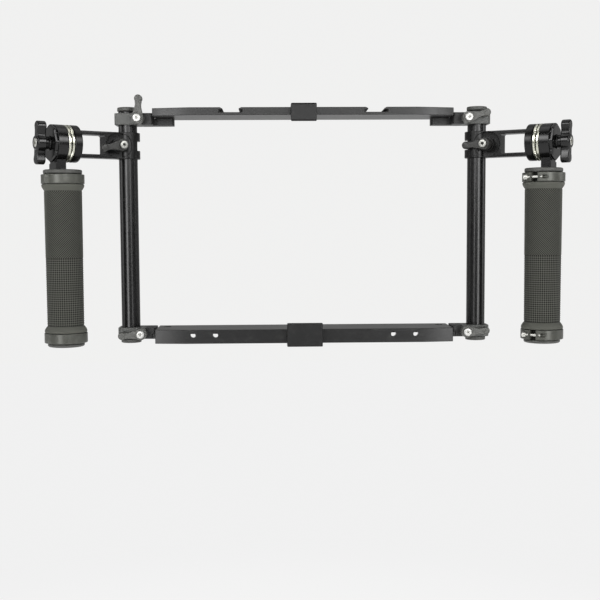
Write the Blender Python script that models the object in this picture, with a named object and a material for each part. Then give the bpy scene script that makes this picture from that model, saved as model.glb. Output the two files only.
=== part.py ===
"""A rod cage that holds a field monitor between two plates, with two swing-arm grips.

Metres, +Z up. The front faces -Y and the cage's width runs along X. The origin is the middle of
the stand socket's rim, under the bottom plate and in the plane of the two rods.
"""

import math

import bmesh
import bpy
from mathutils import Matrix, Vector

MM = 0.001

# Fits
GAP = 0.3 * MM
SCREW_CLEARANCE = 0.35 * MM
THROUGH = 2.0 * MM

# Rods and their end caps
ROD_DIAMETER = 15.0 * MM
ROD_BORE = 10.0 * MM
ROD_BESIDE_PLATE = 21.5 * MM
ROD_ABOVE_CLAMP = 1.6 * MM
ROD_CAP_DIAMETER = 16.4 * MM
ROD_CAP_THICKNESS = 3.2 * MM
ROD_CAP_EDGE = 0.5 * MM
ROD_PLUG_LENGTH = 9.0 * MM

# Monitor bay and plates
BAY_HEIGHT = 171.1 * MM
PLATE_WIDTH = 241.6 * MM
PLATE_DEPTH = 40.0 * MM
PLATE_AHEAD_OF_RODS = 20.8 * MM
PLATE_EDGE = 0.4 * MM
TOP_THICKNESS = 6.2 * MM
TOP_STRAIGHT_FRONT = 182.4 * MM
TOP_SWEEP = 6.0 * MM
BOTTOM_STRAIGHT_FRONT = 192.4 * MM
BOTTOM_SWEEP = 3.0 * MM
FLANGE_HEIGHT = 11.3 * MM
FLANGE_THICKNESS = 5.0 * MM
WEB_THICKNESS = 4.0 * MM
FLANGE_HOLE_DIAMETER = 4.2 * MM
FLANGE_HOLE_HEIGHT = 6.8 * MM
FLANGE_HOLES_FROM_MIDDLE = (72.0 * MM, 90.1 * MM)

# Cold shoe slots in the top plate
SHOE_FROM_MIDDLE = 58.0 * MM
SHOE_MOUTH = 12.8 * MM
SHOE_WIDTH = 19.0 * MM
SHOE_DEPTH = 3.9 * MM
SHOE_LIP = 1.9 * MM
SHOE_LIP_BEVEL = 1.0 * MM
SHOE_LIP_BEVEL_REACH = 2.0 * MM

# Stand socket
STAND_BLOCK_WIDTH = 40.0 * MM
STAND_BOSS_DIAMETER = 22.0 * MM
STAND_BOSS_DROP = 4.0 * MM
STAND_SOCKET_DIAMETER = 8.6 * MM
STAND_SOCKET_DEPTH = 10.0 * MM

# Clips that hook over the monitor's front edge
CLIP_AHEAD_OF_PLATE = 8.7 * MM
CLIP_WALL = 3.0 * MM
CLIP_TONGUE = 1.7 * MM
CLIP_EDGE = 0.6 * MM
TOP_CLIP_WIDTH = 20.4 * MM
TOP_CLIP_LIP = 5.2 * MM
TOP_CLIP_TONGUE_END = 14.8 * MM
TOP_CLIP_SCREW_BEHIND_FRONT = 7.8 * MM
BOTTOM_CLIP_WIDTH = 28.5 * MM
BOTTOM_CLIP_LIP = 5.6 * MM
BOTTOM_CLIP_TONGUE_END = 9.3 * MM
BOTTOM_CLIP_SCREW_BEHIND_FRONT = 4.8 * MM
CLIP_SCREW_LENGTH = 6.0 * MM

# Small screws
SCREW_DIAMETER = 3.0 * MM
SCREW_HEAD_DIAMETER = 5.6 * MM
SCREW_HEAD_HEIGHT = 1.2 * MM
BOLT_HEAD_HEIGHT = 1.6 * MM
BRIGHT_HEAD_DIAMETER = 6.3 * MM
BRIGHT_HEAD_HEIGHT = 2.2 * MM
HEX_SOCKET = 2.5 * MM
HEX_SOCKET_DEPTH = 1.2 * MM
KNOB_HEX_SOCKET = 3.0 * MM
KNOB_SCREW_HEAD_DIAMETER = 7.0 * MM
BRIGHT_HEAD_EDGE = 0.55 * MM

# Corner clamps
CLAMP_HEIGHT = 9.3 * MM
CLAMP_WALL = 2.1 * MM
CLAMP_CORNER = 3.0 * MM
CLAMP_FROM_PLATE = 0.5 * MM
CLAMP_SLIT = 1.2 * MM
CLAMP_BELOW_BAY_ROOF = 6.3 * MM
CLAMP_BELOW_WEB = 4.2 * MM
CLAMP_SCREW_FROM_ROD = 9.9 * MM
TONGUE_FRONTS = {"top": 2.5 * MM, "bottom": -12.0 * MM}
TONGUE_BACK = 12.0 * MM
TONGUE_REACH = 15.5 * MM
TONGUE_CORNER = 1.5 * MM
CORNER_BOLT_Y = 7.2 * MM
CORNER_BOLT_REACH = 7.8 * MM

# Clamp levers
LEVER_HUB_DIAMETER = 9.4 * MM
LEVER_HUB_PROUD = 0.4 * MM
LEVER_TIP_PROUD = 1.0 * MM
CORNER_LEVER_HUB_DEPTH = 8.4 * MM
CORNER_LEVER_ARM_DEPTH = 6.4 * MM
ARM_LEVER_HUB_DEPTH = 7.4 * MM
ARM_LEVER_ARM_DEPTH = 4.0 * MM
LEVER_LENGTH = 18.3 * MM
LEVER_WAIST = 4.4 * MM
LEVER_TIP_DIAMETER = 5.9 * MM

# Swing arms, measured outward from the rod's axis
ARM_BELOW_BAY_ROOF = 22.85 * MM
ARM_SWINGS = {"left": math.radians(33.2), "right": math.radians(31.8)}
ARM_HEIGHT = 21.2 * MM
ARM_THICKNESS = 11.0 * MM
ARM_RING_WALL = 2.2 * MM
ARM_EAR_GAP = 7.8 * MM
ARM_SLIT = 1.2 * MM
ARM_RELIEF_DIAMETER = 20.2 * MM
ARM_RELIEF_FLOOR = 4.7 * MM
ARM_RELIEF_WALL = 1.1 * MM
ARM_SEAT_DIAMETER = 12.0 * MM
ARM_SEAT_FRONT = 7.4 * MM
ARM_SCREW_FROM_ROD = 11.2 * MM
ARM_WINDOW_START = 22.4 * MM
ARM_WINDOW_HEIGHT = 15.2 * MM
ARM_WINDOW_CORNER = 1.5 * MM
ARM_END_WALL = 1.2 * MM
ARM_DISC_START = 44.5 * MM
ARM_DISC_THICKNESS = 6.3 * MM

# Toothed joint between arm and handle
JOINT_DIAMETER = 29.2 * MM
JOINT_EDGE = 0.9 * MM
ROSETTE_THICKNESS = 2.2 * MM
ROSETTE_BORE = 12.0 * MM
ROSETTE_TEETH = 20
TOOTH_HEIGHT = 0.8 * MM
PIVOT_DIAMETER = 6.0 * MM
PIVOT_IN_DISC = 4.5 * MM

# Handle head, pressure washer and wing knob
HEAD_LENGTH = 5.8 * MM
HEAD_BACK_EDGE = 0.45 * MM
HEAD_BEVEL_LENGTH = 1.6 * MM
HEAD_FACE_DIAMETER = 25.4 * MM
HEAD_NOTCHES = 6
HEAD_NOTCH_DIAMETER = 3.0 * MM
NECK_LENGTH = 8.2 * MM
NECK_WIDTH = 14.5 * MM
NECK_EDGE = 0.4 * MM
WASHER_THICKNESS = 2.2 * MM
WASHER_SIDES = 6
WASHER_ACROSS_FLATS = 26.6 * MM
WASHER_CORNER = 1.0 * MM
WASHER_EDGE = 1.8 * MM
WASHER_EDGE_THICKNESS = 1.4 * MM
WASHER_TURN = math.radians(30.0)
KNOB_COLLAR_DIAMETER = 11.4 * MM
KNOB_COLLAR_THICKNESS = 1.0 * MM
KNOB_NECK_DIAMETER = 10.2 * MM
KNOB_NECK_LENGTH = 3.0 * MM
KNOB_WING_THICKNESS = 7.3 * MM
KNOB_DOME = 0.6 * MM
KNOB_LENGTH = 33.6 * MM
KNOB_TIP_WIDTH = 8.4 * MM
KNOB_WAIST_WIDTH = 6.4 * MM
KNOB_HUB_DIAMETER = 13.0 * MM
KNOB_EDGE = 0.8 * MM
KNOB_TURNS = {"left": math.radians(8.5), "right": math.radians(-2.0)}

# Handle, measured down from the arm's middle
HANDLE_FROM_ROD = 56.3 * MM
HANDLE_TOP_BELOW_ARM = 20.4 * MM
HANDLE_CAP_DIAMETER = 30.0 * MM
HANDLE_CAP_THICKNESS = 3.4 * MM
HANDLE_CAP_EDGE = 0.9 * MM
CORE_DIAMETER = 18.0 * MM
CORE_BORE = 12.0 * MM
CORE_BORE_DEPTH = 14.0 * MM
TOP_RING_HEIGHT = 7.2 * MM
BOTTOM_RING_HEIGHT = 7.8 * MM
RING_DIAMETER = 33.5 * MM
RING_WALL = 4.0 * MM
RING_EDGE = 0.5 * MM
RING_SLIT = 5.2 * MM
RING_SCREW_INSET = 2.1 * MM
RING_LUG = 3.4 * MM
RING_SCREW_LENGTH = 12.0 * MM
RING_SCREW_DIAMETER = 2.4 * MM
RING_HEAD_DIAMETER = 4.2 * MM
RING_HEAD_LENGTH = 3.8 * MM
RING_SCREW_TURN = math.radians(40.0)
FLANGE_SLOPE_HEIGHT = 5.2 * MM
FLANGE_DIAMETER = 32.9 * MM
GRIP_TOP_DIAMETER = 28.7 * MM
GRIP_BOTTOM_DIAMETER = 28.1 * MM
GRIP_LENGTH = 106.0 * MM
END_CAP_DIAMETER = 28.6 * MM
END_CAP_THICKNESS = 2.8 * MM
END_CAP_EDGE = 1.0 * MM
END_PLUG_LENGTH = 10.0 * MM

# Roundness of turned pieces
FINE = 24
PLAIN = 12
SMALL = 8
HALF_TURN_STEPS = 5
CORNER_STEPS = 2

# Edges sharper than this are drawn sharp, and broken where a piece has broken edges
SHARP_ANGLE = math.radians(35.0)

# Where each lever points at rest, measured from straight up towards the outside of the cage
LEVER_ANGLES = {
    ("top", "left"): math.radians(-3.5),
    ("top", "right"): math.radians(75.5),
    ("bottom", "left"): math.radians(95.5),
    ("bottom", "right"): math.radians(87.5),
}
ARM_LEVER_ANGLES = {"left": math.radians(100.5), "right": math.radians(-93.0)}

# Where the handle rings' slits look, turned from the front about the handle's axis
RING_SLIT_ANGLES = {"left": math.radians(180.0) + RING_SCREW_TURN, "right": -RING_SCREW_TURN}
SIDES = {"left": -1, "right": 1}

# Heights and places that follow from the sizes above
BOTTOM_Z = STAND_BOSS_DROP
BAY_FLOOR = BOTTOM_Z + FLANGE_HEIGHT
WEB_UNDERSIDE = BAY_FLOOR - WEB_THICKNESS
BAY_ROOF = BAY_FLOOR + BAY_HEIGHT
TOP_Z = BAY_ROOF + TOP_THICKNESS
ROD_SPACING = PLATE_WIDTH + 2 * ROD_BESIDE_PLATE
ROD_X = ROD_SPACING / 2
PLATE_FRONT_Y = -PLATE_AHEAD_OF_RODS
PLATE_BACK_Y = PLATE_FRONT_Y + PLATE_DEPTH
PLATE_END_X = PLATE_WIDTH / 2
PLATE_END_FROM_ROD = ROD_X - PLATE_END_X
CLIP_FRONT_Y = PLATE_FRONT_Y - CLIP_AHEAD_OF_PLATE
TOP_CLIP_SCREW_Y = PLATE_FRONT_Y + TOP_CLIP_SCREW_BEHIND_FRONT
BOTTOM_CLIP_SCREW_Y = PLATE_FRONT_Y + BOTTOM_CLIP_SCREW_BEHIND_FRONT
CLAMP_BOTTOMS = {"top": BAY_ROOF - CLAMP_BELOW_BAY_ROOF, "bottom": WEB_UNDERSIDE - CLAMP_BELOW_WEB}
TONGUE_TOPS = {"top": BAY_ROOF - GAP, "bottom": WEB_UNDERSIDE - GAP}
ROD_BOTTOM = CLAMP_BOTTOMS["bottom"]
ROD_TOP = CLAMP_BOTTOMS["top"] + CLAMP_HEIGHT + ROD_ABOVE_CLAMP
CLAMP_HALF_DEPTH = ROD_DIAMETER / 2 + CLAMP_WALL
CLAMP_END_FROM_ROD = PLATE_END_FROM_ROD - CLAMP_FROM_PLATE
TONGUE_END_FROM_ROD = PLATE_END_FROM_ROD + TONGUE_REACH
CORNER_BOLT_FROM_ROD = PLATE_END_FROM_ROD + CORNER_BOLT_REACH
ARM_HEIGHT_IN_BAY = BAY_HEIGHT - ARM_BELOW_BAY_ROOF
ARM_Z = BAY_FLOOR + ARM_HEIGHT_IN_BAY
ARM_RING_RADIUS = ROD_DIAMETER / 2 + ARM_RING_WALL
ARM_DISC_END = ARM_DISC_START + ARM_DISC_THICKNESS
ARM_ROSETTE_START = ARM_DISC_END + GAP
ARM_ROSETTE_END = ARM_ROSETTE_START + ROSETTE_THICKNESS
HANDLE_ROSETTE_START = ARM_ROSETTE_END + GAP
HEAD_START = HANDLE_ROSETTE_START + ROSETTE_THICKNESS + GAP
HEAD_END = HEAD_START + HEAD_LENGTH + HEAD_BEVEL_LENGTH
WASHER_START = HEAD_END + GAP
KNOB_START = WASHER_START + WASHER_THICKNESS + GAP
KNOB_WING_START = KNOB_START + KNOB_COLLAR_THICKNESS + KNOB_NECK_LENGTH
KNOB_WING_END = KNOB_WING_START + KNOB_WING_THICKNESS
KNOB_END = KNOB_WING_END + KNOB_DOME
RING_TOP_Z = -HANDLE_TOP_BELOW_ARM - HANDLE_CAP_THICKNESS - GAP
TOP_FLANGE_Z = RING_TOP_Z - TOP_RING_HEIGHT - GAP
GRIP_TOP_Z = TOP_FLANGE_Z - FLANGE_SLOPE_HEIGHT
GRIP_BOTTOM_Z = GRIP_TOP_Z - GRIP_LENGTH
BOTTOM_FLANGE_Z = GRIP_BOTTOM_Z - FLANGE_SLOPE_HEIGHT
BOTTOM_RING_Z = BOTTOM_FLANGE_Z - GAP - BOTTOM_RING_HEIGHT
END_CAP_Z = BOTTOM_RING_Z - GAP - END_CAP_THICKNESS
RING_BORE_RADIUS = RING_DIAMETER / 2 - RING_WALL


def remove_old_objects():
    """Empty the scene."""
    for item in list(bpy.data.objects):
        bpy.data.objects.remove(item, do_unlink=True)


def finish(name, colour, roughness, metallic):
    """A plain surface: linear colour, roughness and how metallic it is."""
    material = bpy.data.materials.new(name)
    material.use_nodes = True
    shader = material.node_tree.nodes["Principled BSDF"]
    shader.inputs["Base Color"].default_value = (*colour, 1.0)
    shader.inputs["Roughness"].default_value = roughness
    shader.inputs["Metallic"].default_value = metallic
    return material


def arc(centre, radius, start, end, steps):
    """Points on a circle in a plane, from one angle to another in degrees."""
    angles = [math.radians(start + (end - start) * i / steps) for i in range(steps + 1)]
    return [(centre[0] + radius * math.cos(a), centre[1] + radius * math.sin(a)) for a in angles]


def rounded(corners, steps=CORNER_STEPS):
    """An outline from corners given as (x, y, radius), each corner turned into an arc."""
    outline = []
    for index, (x, y, radius) in enumerate(corners):
        corner = Vector((x, y))
        before = (Vector(corners[index - 1][:2]) - corner).normalized()
        after = (Vector(corners[(index + 1) % len(corners)][:2]) - corner).normalized()
        if radius == 0:
            outline.append((x, y))
            continue
        half_angle = before.angle(after) / 2
        middle = corner + (before + after).normalized() * radius / math.sin(half_angle)
        start = corner + before * radius / math.tan(half_angle) - middle
        end = corner + after * radius / math.tan(half_angle) - middle
        for step in range(steps + 1):
            outline.append(tuple(middle + start.slerp(end, step / steps).normalized() * radius))
    return outline


def rectangle(x0, x1, y0, y1, radius=0.0):
    """A rectangle's corners as an outline, rounded if a radius is given."""
    return rounded([(x0, y0, radius), (x1, y0, radius), (x1, y1, radius), (x0, y1, radius)])


def polygon(sides, across_flats, turn, radius=0.0):
    """A regular polygon's outline, with a flat at the top and bottom at turn 0."""
    corner = across_flats / 2 / math.cos(math.pi / sides)
    points = []
    for index in range(sides):
        angle = turn + 2 * math.pi * index / sides
        points.append((corner * math.cos(angle), corner * math.sin(angle), radius))
    return rounded(points, 2)


def prism(outline, axis, start, end):
    """A closed mesh: an outline extruded along an axis.

    The outline lies in XY for axis Z, in XZ for axis Y and in YZ for axis X.
    """
    place = {
        "X": lambda u, v, w: (w, u, v),
        "Y": lambda u, v, w: (u, w, v),
        "Z": lambda u, v, w: (u, v, w),
    }[axis]
    mesh = bmesh.new()
    face = mesh.faces.new([mesh.verts.new(place(u, v, start)) for u, v in outline])
    grown = bmesh.ops.extrude_face_region(mesh, geom=[face])
    moved = [item for item in grown["geom"] if isinstance(item, bmesh.types.BMVert)]
    bmesh.ops.translate(mesh, vec=place(0, 0, end - start), verts=moved)
    return mesh


def stacked(layers):
    """A closed mesh through outlines in YZ with equally many points, each given as (x, outline)."""
    mesh = bmesh.new()
    rings = [[mesh.verts.new((x, y, z)) for y, z in outline] for x, outline in layers]
    mesh.faces.new(rings[0])
    mesh.faces.new(rings[-1])
    for ring, following in zip(rings, rings[1:]):
        for index in range(len(ring)):
            after = index - 1
            mesh.faces.new((ring[index], ring[after], following[after], following[index]))
    return mesh


def box(x0, x1, y0, y1, z0, z1):
    """A closed box between two corners."""
    return prism(rectangle(x0, x1, y0, y1), "Z", z0, z1)


def turned(profile, axis, steps, centre=(0.0, 0.0, 0.0)):
    """A closed mesh: a profile of (radius, height) points turned about an axis through centre."""
    mesh = bmesh.new()
    points = [mesh.verts.new((radius, 0.0, height)) for radius, height in profile]
    edges = [mesh.edges.new(pair) for pair in zip(points, points[1:])]
    if profile[0][0] > 0 or profile[-1][0] > 0:
        edges.append(mesh.edges.new((points[-1], points[0])))
    bmesh.ops.spin(
        mesh,
        geom=points + edges,
        axis=(0, 0, 1),
        cent=(0, 0, 0),
        steps=steps,
        angle=2 * math.pi,
    )
    bmesh.ops.remove_doubles(mesh, verts=mesh.verts, dist=1e-6)
    turn = {"X": Matrix.Rotation(math.pi / 2, 4, "Y"), "Y": Matrix.Rotation(-math.pi / 2, 4, "X")}
    bmesh.ops.transform(mesh, matrix=turn.get(axis, Matrix()), verts=mesh.verts)
    bmesh.ops.translate(mesh, vec=centre, verts=mesh.verts)
    return mesh


def cylinder(diameter, axis, start, end, steps=PLAIN, centre=(0.0, 0.0, 0.0), edge=0.0):
    """A closed cylinder along an axis, with a bevelled edge at both ends if asked."""
    radius = diameter / 2
    profile = [(0, start), (radius - edge, start), (radius, start + edge)]
    profile += [(radius, end - edge), (radius - edge, end), (0, end)]
    if edge == 0:
        profile = [(0, start), (radius, start), (radius, end), (0, end)]
    return turned(profile, axis, steps, centre)


def joined(meshes):
    """Several closed meshes as one."""
    whole = bmesh.new()
    for mesh in meshes:
        data = bpy.data.meshes.new("joined")
        mesh.to_mesh(data)
        mesh.free()
        whole.from_mesh(data)
        bpy.data.meshes.remove(data)
    return whole


class Place:
    """Where pieces are made: an empty on a joint's axis, and a side of the cage.

    Pieces are drawn with +X pointing outward, and mirrored on the left side.
    """

    def __init__(self, name, side=1, parent=None, location=(0.0, 0.0, 0.0), turn=(0.0, 0.0, 0.0)):
        self.side = side
        self.empty = bpy.data.objects.new(name, None)
        bpy.context.collection.objects.link(self.empty)
        self.empty.location = (side * location[0], location[1], location[2])
        self.empty.rotation_euler = (turn[0], side * turn[1], side * turn[2])
        if parent:
            self.empty.parent = parent.empty

    def make(self, name, mesh):
        """Turn a mesh into an object at this place."""
        if self.side < 0:
            mirror = Matrix.Scale(-1, 4, (1, 0, 0))
            bmesh.ops.transform(mesh, matrix=mirror, verts=mesh.verts)
        bmesh.ops.recalc_face_normals(mesh, faces=mesh.faces)
        data = bpy.data.meshes.new(name)
        mesh.to_mesh(data)
        mesh.free()
        item = bpy.data.objects.new(name, data)
        bpy.context.collection.objects.link(item)
        item.parent = self.empty
        return item

    def piece(self, name, mesh, material):
        """A piece of the cage."""
        item = self.make(name, mesh)
        item.data.materials.append(material)
        item.data.shade_smooth()
        item.data.set_sharp_from_angle(angle=SHARP_ANGLE)
        return item

    def shape(self, item, mesh, operation):
        """Cut a mesh from a piece, or add it to the piece."""
        tool = self.make(item.name + "_tool", mesh)
        tool.hide_render = True
        tool.display_type = "WIRE"
        modifier = item.modifiers.new(operation.lower(), "BOOLEAN")
        modifier.solver = "EXACT"
        modifier.operation = operation
        modifier.object = tool

    def cut(self, item, *meshes):
        """Cut meshes that stand clear of each other away from a piece, in one step."""
        self.shape(item, joined(meshes), "DIFFERENCE")

    def add(self, item, mesh):
        """Grow a piece by a mesh."""
        self.shape(item, mesh, "UNION")


def bevel_edges(item, width):
    """Break a piece's sharp edges."""
    modifier = item.modifiers.new("edges", "BEVEL")
    modifier.width = width
    modifier.segments = 1
    modifier.limit_method = "ANGLE"
    modifier.angle_limit = SHARP_ANGLE


def use_manifold_solver(item):
    """Switch a piece's Booleans to the other solver, where the exact one leaves open edges."""
    for modifier in item.modifiers:
        if modifier.type == "BOOLEAN":
            modifier.solver = "MANIFOLD"


def hole_size(diameter):
    """A hole that clears a screw."""
    return diameter + 2 * SCREW_CLEARANCE


def plate_outline(straight_front, sweep):
    """A plate seen from above, its front edge swept back towards both ends."""
    half = straight_front / 2
    return [
        (-half, PLATE_FRONT_Y),
        (half, PLATE_FRONT_Y),
        (PLATE_END_X, PLATE_FRONT_Y + sweep),
        (PLATE_END_X, PLATE_BACK_Y),
        (-PLATE_END_X, PLATE_BACK_Y),
        (-PLATE_END_X, PLATE_FRONT_Y + sweep),
    ]


def shoe_outline(middle):
    """A cold shoe slot seen from the front: a mouth between two lips, over a wider groove."""
    mouth = SHOE_MOUTH / 2
    half = SHOE_WIDTH / 2
    floor = TOP_Z - SHOE_DEPTH
    under_lip = TOP_Z - SHOE_LIP
    above = TOP_Z + THROUGH
    right = [
        (half, floor),
        (half, under_lip),
        (mouth, under_lip),
        (mouth, TOP_Z - SHOE_LIP_BEVEL),
        (mouth + SHOE_LIP_BEVEL_REACH, TOP_Z),
        (mouth + SHOE_LIP_BEVEL_REACH, above),
    ]
    left = [(-x, z) for x, z in reversed(right)]
    return [(middle + x, z) for x, z in right + left]


def stepped_hole(start, seat, head_diameter, end, middle):
    """A cutter for an upright screw: a hole that widens at the head's seat."""
    hole = hole_size(SCREW_DIAMETER) / 2
    head = hole_size(head_diameter) / 2
    profile = [(0, start), (hole, start), (hole, seat), (head, seat), (head, end), (0, end)]
    return turned(profile, "Z", SMALL, middle)


def bolt_holes(top):
    """Cutters for the two corner bolts, sunk from a plate's top face."""
    start = top - FLANGE_HEIGHT
    seat = top - BOLT_HEAD_HEIGHT - GAP
    holes = []
    for side in SIDES.values():
        middle = (side * (ROD_X - CORNER_BOLT_FROM_ROD), CORNER_BOLT_Y, 0)
        holes.append(stepped_hole(start, seat, SCREW_HEAD_DIAMETER, top + THROUGH, middle))
    return holes


def make_top_plate(place, black):
    """The top plate, with its two cold shoe slots."""
    outline = plate_outline(TOP_STRAIGHT_FRONT, TOP_SWEEP)
    plate = place.piece("top_plate", prism(outline, "Z", BAY_ROOF, TOP_Z), black)
    bevel_edges(plate, PLATE_EDGE)
    slot_ends = (PLATE_FRONT_Y - THROUGH, PLATE_BACK_Y + THROUGH)
    slots = [prism(shoe_outline(side * SHOE_FROM_MIDDLE), "Y", *slot_ends) for side in SIDES.values()]
    depth = TOP_Z + CLIP_TONGUE - CLIP_SCREW_LENGTH
    middle = (0, TOP_CLIP_SCREW_Y, 0)
    clip_hole = cylinder(hole_size(SCREW_DIAMETER), "Z", depth, TOP_Z + THROUGH, SMALL, middle)
    place.cut(plate, clip_hole, *slots, *bolt_holes(TOP_Z))


def make_bottom_plate(place, black):
    """The bottom plate: a web that carries the monitor, a front flange and the stand socket."""
    outline = plate_outline(BOTTOM_STRAIGHT_FRONT, BOTTOM_SWEEP)
    plate = place.piece("bottom_plate", prism(outline, "Z", BOTTOM_Z, BAY_FLOOR), black)
    bevel_edges(plate, PLATE_EDGE)
    behind_flange = PLATE_FRONT_Y + FLANGE_THICKNESS
    half = BOTTOM_STRAIGHT_FRONT / 2
    past_end = PLATE_END_X + THROUGH
    sweep_past_end = BOTTOM_SWEEP * (past_end - half) / (PLATE_END_X - half)
    pockets = []
    holes = bolt_holes(BAY_FLOOR)
    for side in SIDES.values():
        pocket = [
            (side * STAND_BLOCK_WIDTH / 2, behind_flange),
            (side * half, behind_flange),
            (side * past_end, behind_flange + sweep_past_end),
            (side * past_end, PLATE_BACK_Y + THROUGH),
            (side * STAND_BLOCK_WIDTH / 2, PLATE_BACK_Y + THROUGH),
        ]
        pockets.append(prism(pocket, "Z", BOTTOM_Z - THROUGH, WEB_UNDERSIDE))
        for from_middle in FLANGE_HOLES_FROM_MIDDLE:
            middle = (side * from_middle, 0, BOTTOM_Z + FLANGE_HOLE_HEIGHT)
            ends = (PLATE_FRONT_Y - THROUGH, behind_flange + THROUGH)
            holes.append(cylinder(FLANGE_HOLE_DIAMETER, "Y", *ends, SMALL, middle))
    place.cut(plate, *pockets)
    place.add(plate, cylinder(STAND_BOSS_DIAMETER, "Z", 0, BOTTOM_Z + FLANGE_THICKNESS, FINE))
    holes.append(cylinder(STAND_SOCKET_DIAMETER, "Z", -THROUGH, STAND_SOCKET_DEPTH, PLAIN))
    top = BOTTOM_Z - CLIP_TONGUE + CLIP_SCREW_LENGTH
    middle = (0, BOTTOM_CLIP_SCREW_Y, 0)
    holes.append(cylinder(hole_size(SCREW_DIAMETER), "Z", BOTTOM_Z - THROUGH, top, SMALL, middle))
    place.cut(plate, *holes)


def make_top_clip(place, black, steel):
    """The clip on the top plate."""
    size = (TOP_CLIP_WIDTH, TOP_CLIP_LIP, TOP_CLIP_TONGUE_END)
    make_clip(place, "top_clip", size, TOP_CLIP_SCREW_Y, TOP_Z, BAY_ROOF, black, steel)


def make_bottom_clip(place, black, steel):
    """The clip under the bottom plate."""
    size = (BOTTOM_CLIP_WIDTH, BOTTOM_CLIP_LIP, BOTTOM_CLIP_TONGUE_END)
    make_clip(place, "bottom_clip", size, BOTTOM_CLIP_SCREW_Y, BOTTOM_Z, BAY_FLOOR, black, steel)


def make_clip(place, name, size, screw_y, plate_face, bay_face, black, steel):
    """A clip: a tongue on the plate's outer face, and a wall that hooks over the bay.

    size is how wide it is, how far its lip reaches into the bay, and where its tongue ends behind
    the plate's front.
    """
    width, lip, tongue_end = size
    out = 1 if plate_face > bay_face else -1
    near = plate_face + out * GAP
    far = near + out * CLIP_TONGUE
    back = PLATE_FRONT_Y + tongue_end
    wall_back = CLIP_FRONT_Y + CLIP_WALL
    outline = [
        (CLIP_FRONT_Y, far),
        (back, far),
        (back, near),
        (PLATE_FRONT_Y - GAP, near),
        (PLATE_FRONT_Y - GAP, bay_face + out * GAP),
        (wall_back, bay_face + out * GAP),
        (wall_back, bay_face - out * lip),
        (CLIP_FRONT_Y, bay_face - out * lip),
    ]
    clip = place.piece(name, prism(outline, "X", -width / 2, width / 2), black)
    bevel_edges(clip, CLIP_EDGE)
    middle = (0, screw_y, 0)
    seat = far - out * (SCREW_HEAD_HEIGHT + GAP)
    ends = (near - out * THROUGH, far + out * THROUGH)
    place.cut(clip, stepped_hole(ends[0], seat, SCREW_HEAD_DIAMETER, ends[1], middle))
    tip = far - out * CLIP_SCREW_LENGTH
    make_screw(place, name + "_screw", tip + out * GAP, far, out, SCREW_HEAD_HEIGHT, middle, steel)


def make_screw(place, name, tip, head_face, out, head_height, middle, material):
    """A small upright screw, its head towards the side that out points to."""
    head = SCREW_HEAD_DIAMETER / 2
    shank = SCREW_DIAMETER / 2
    neck = head_face - out * head_height
    profile = [(0, tip), (shank, tip), (shank, neck), (head, neck), (head, head_face), (0, head_face)]
    screw = place.piece(name, turned(profile, "Z", SMALL, middle), material)
    depth = head_face - out * head_height / 2
    ends = sorted((depth, head_face + out * THROUGH))
    outline = [(middle[0] + x, middle[1] + y) for x, y in polygon(6, HEX_SOCKET, 0)]
    place.cut(screw, prism(outline, "Z", *ends))


def make_rod(place, side_name, black):
    """A rod and its two end caps, each with a plug in the rod's bore."""
    half = ROD_DIAMETER / 2
    bore = ROD_BORE / 2
    profile = [(bore, ROD_BOTTOM), (half, ROD_BOTTOM), (half, ROD_TOP), (bore, ROD_TOP)]
    place.piece("rod_" + side_name, turned(profile, "Z", FINE), black)
    cap = ROD_CAP_DIAMETER / 2
    plug = bore - GAP
    for end_name, end, out in (("top", ROD_TOP, 1), ("bottom", ROD_BOTTOM, -1)):
        near = end + out * GAP
        far = near + out * ROD_CAP_THICKNESS
        profile = [
            (0, end - out * ROD_PLUG_LENGTH),
            (plug, end - out * ROD_PLUG_LENGTH),
            (plug, near),
            (cap - ROD_CAP_EDGE, near),
            (cap, near + out * ROD_CAP_EDGE),
            (cap, far - out * ROD_CAP_EDGE),
            (cap - ROD_CAP_EDGE, far),
            (0, far),
        ]
        place.piece(f"rod_cap_{end_name}_{side_name}", turned(profile, "Z", FINE), black)


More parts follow.
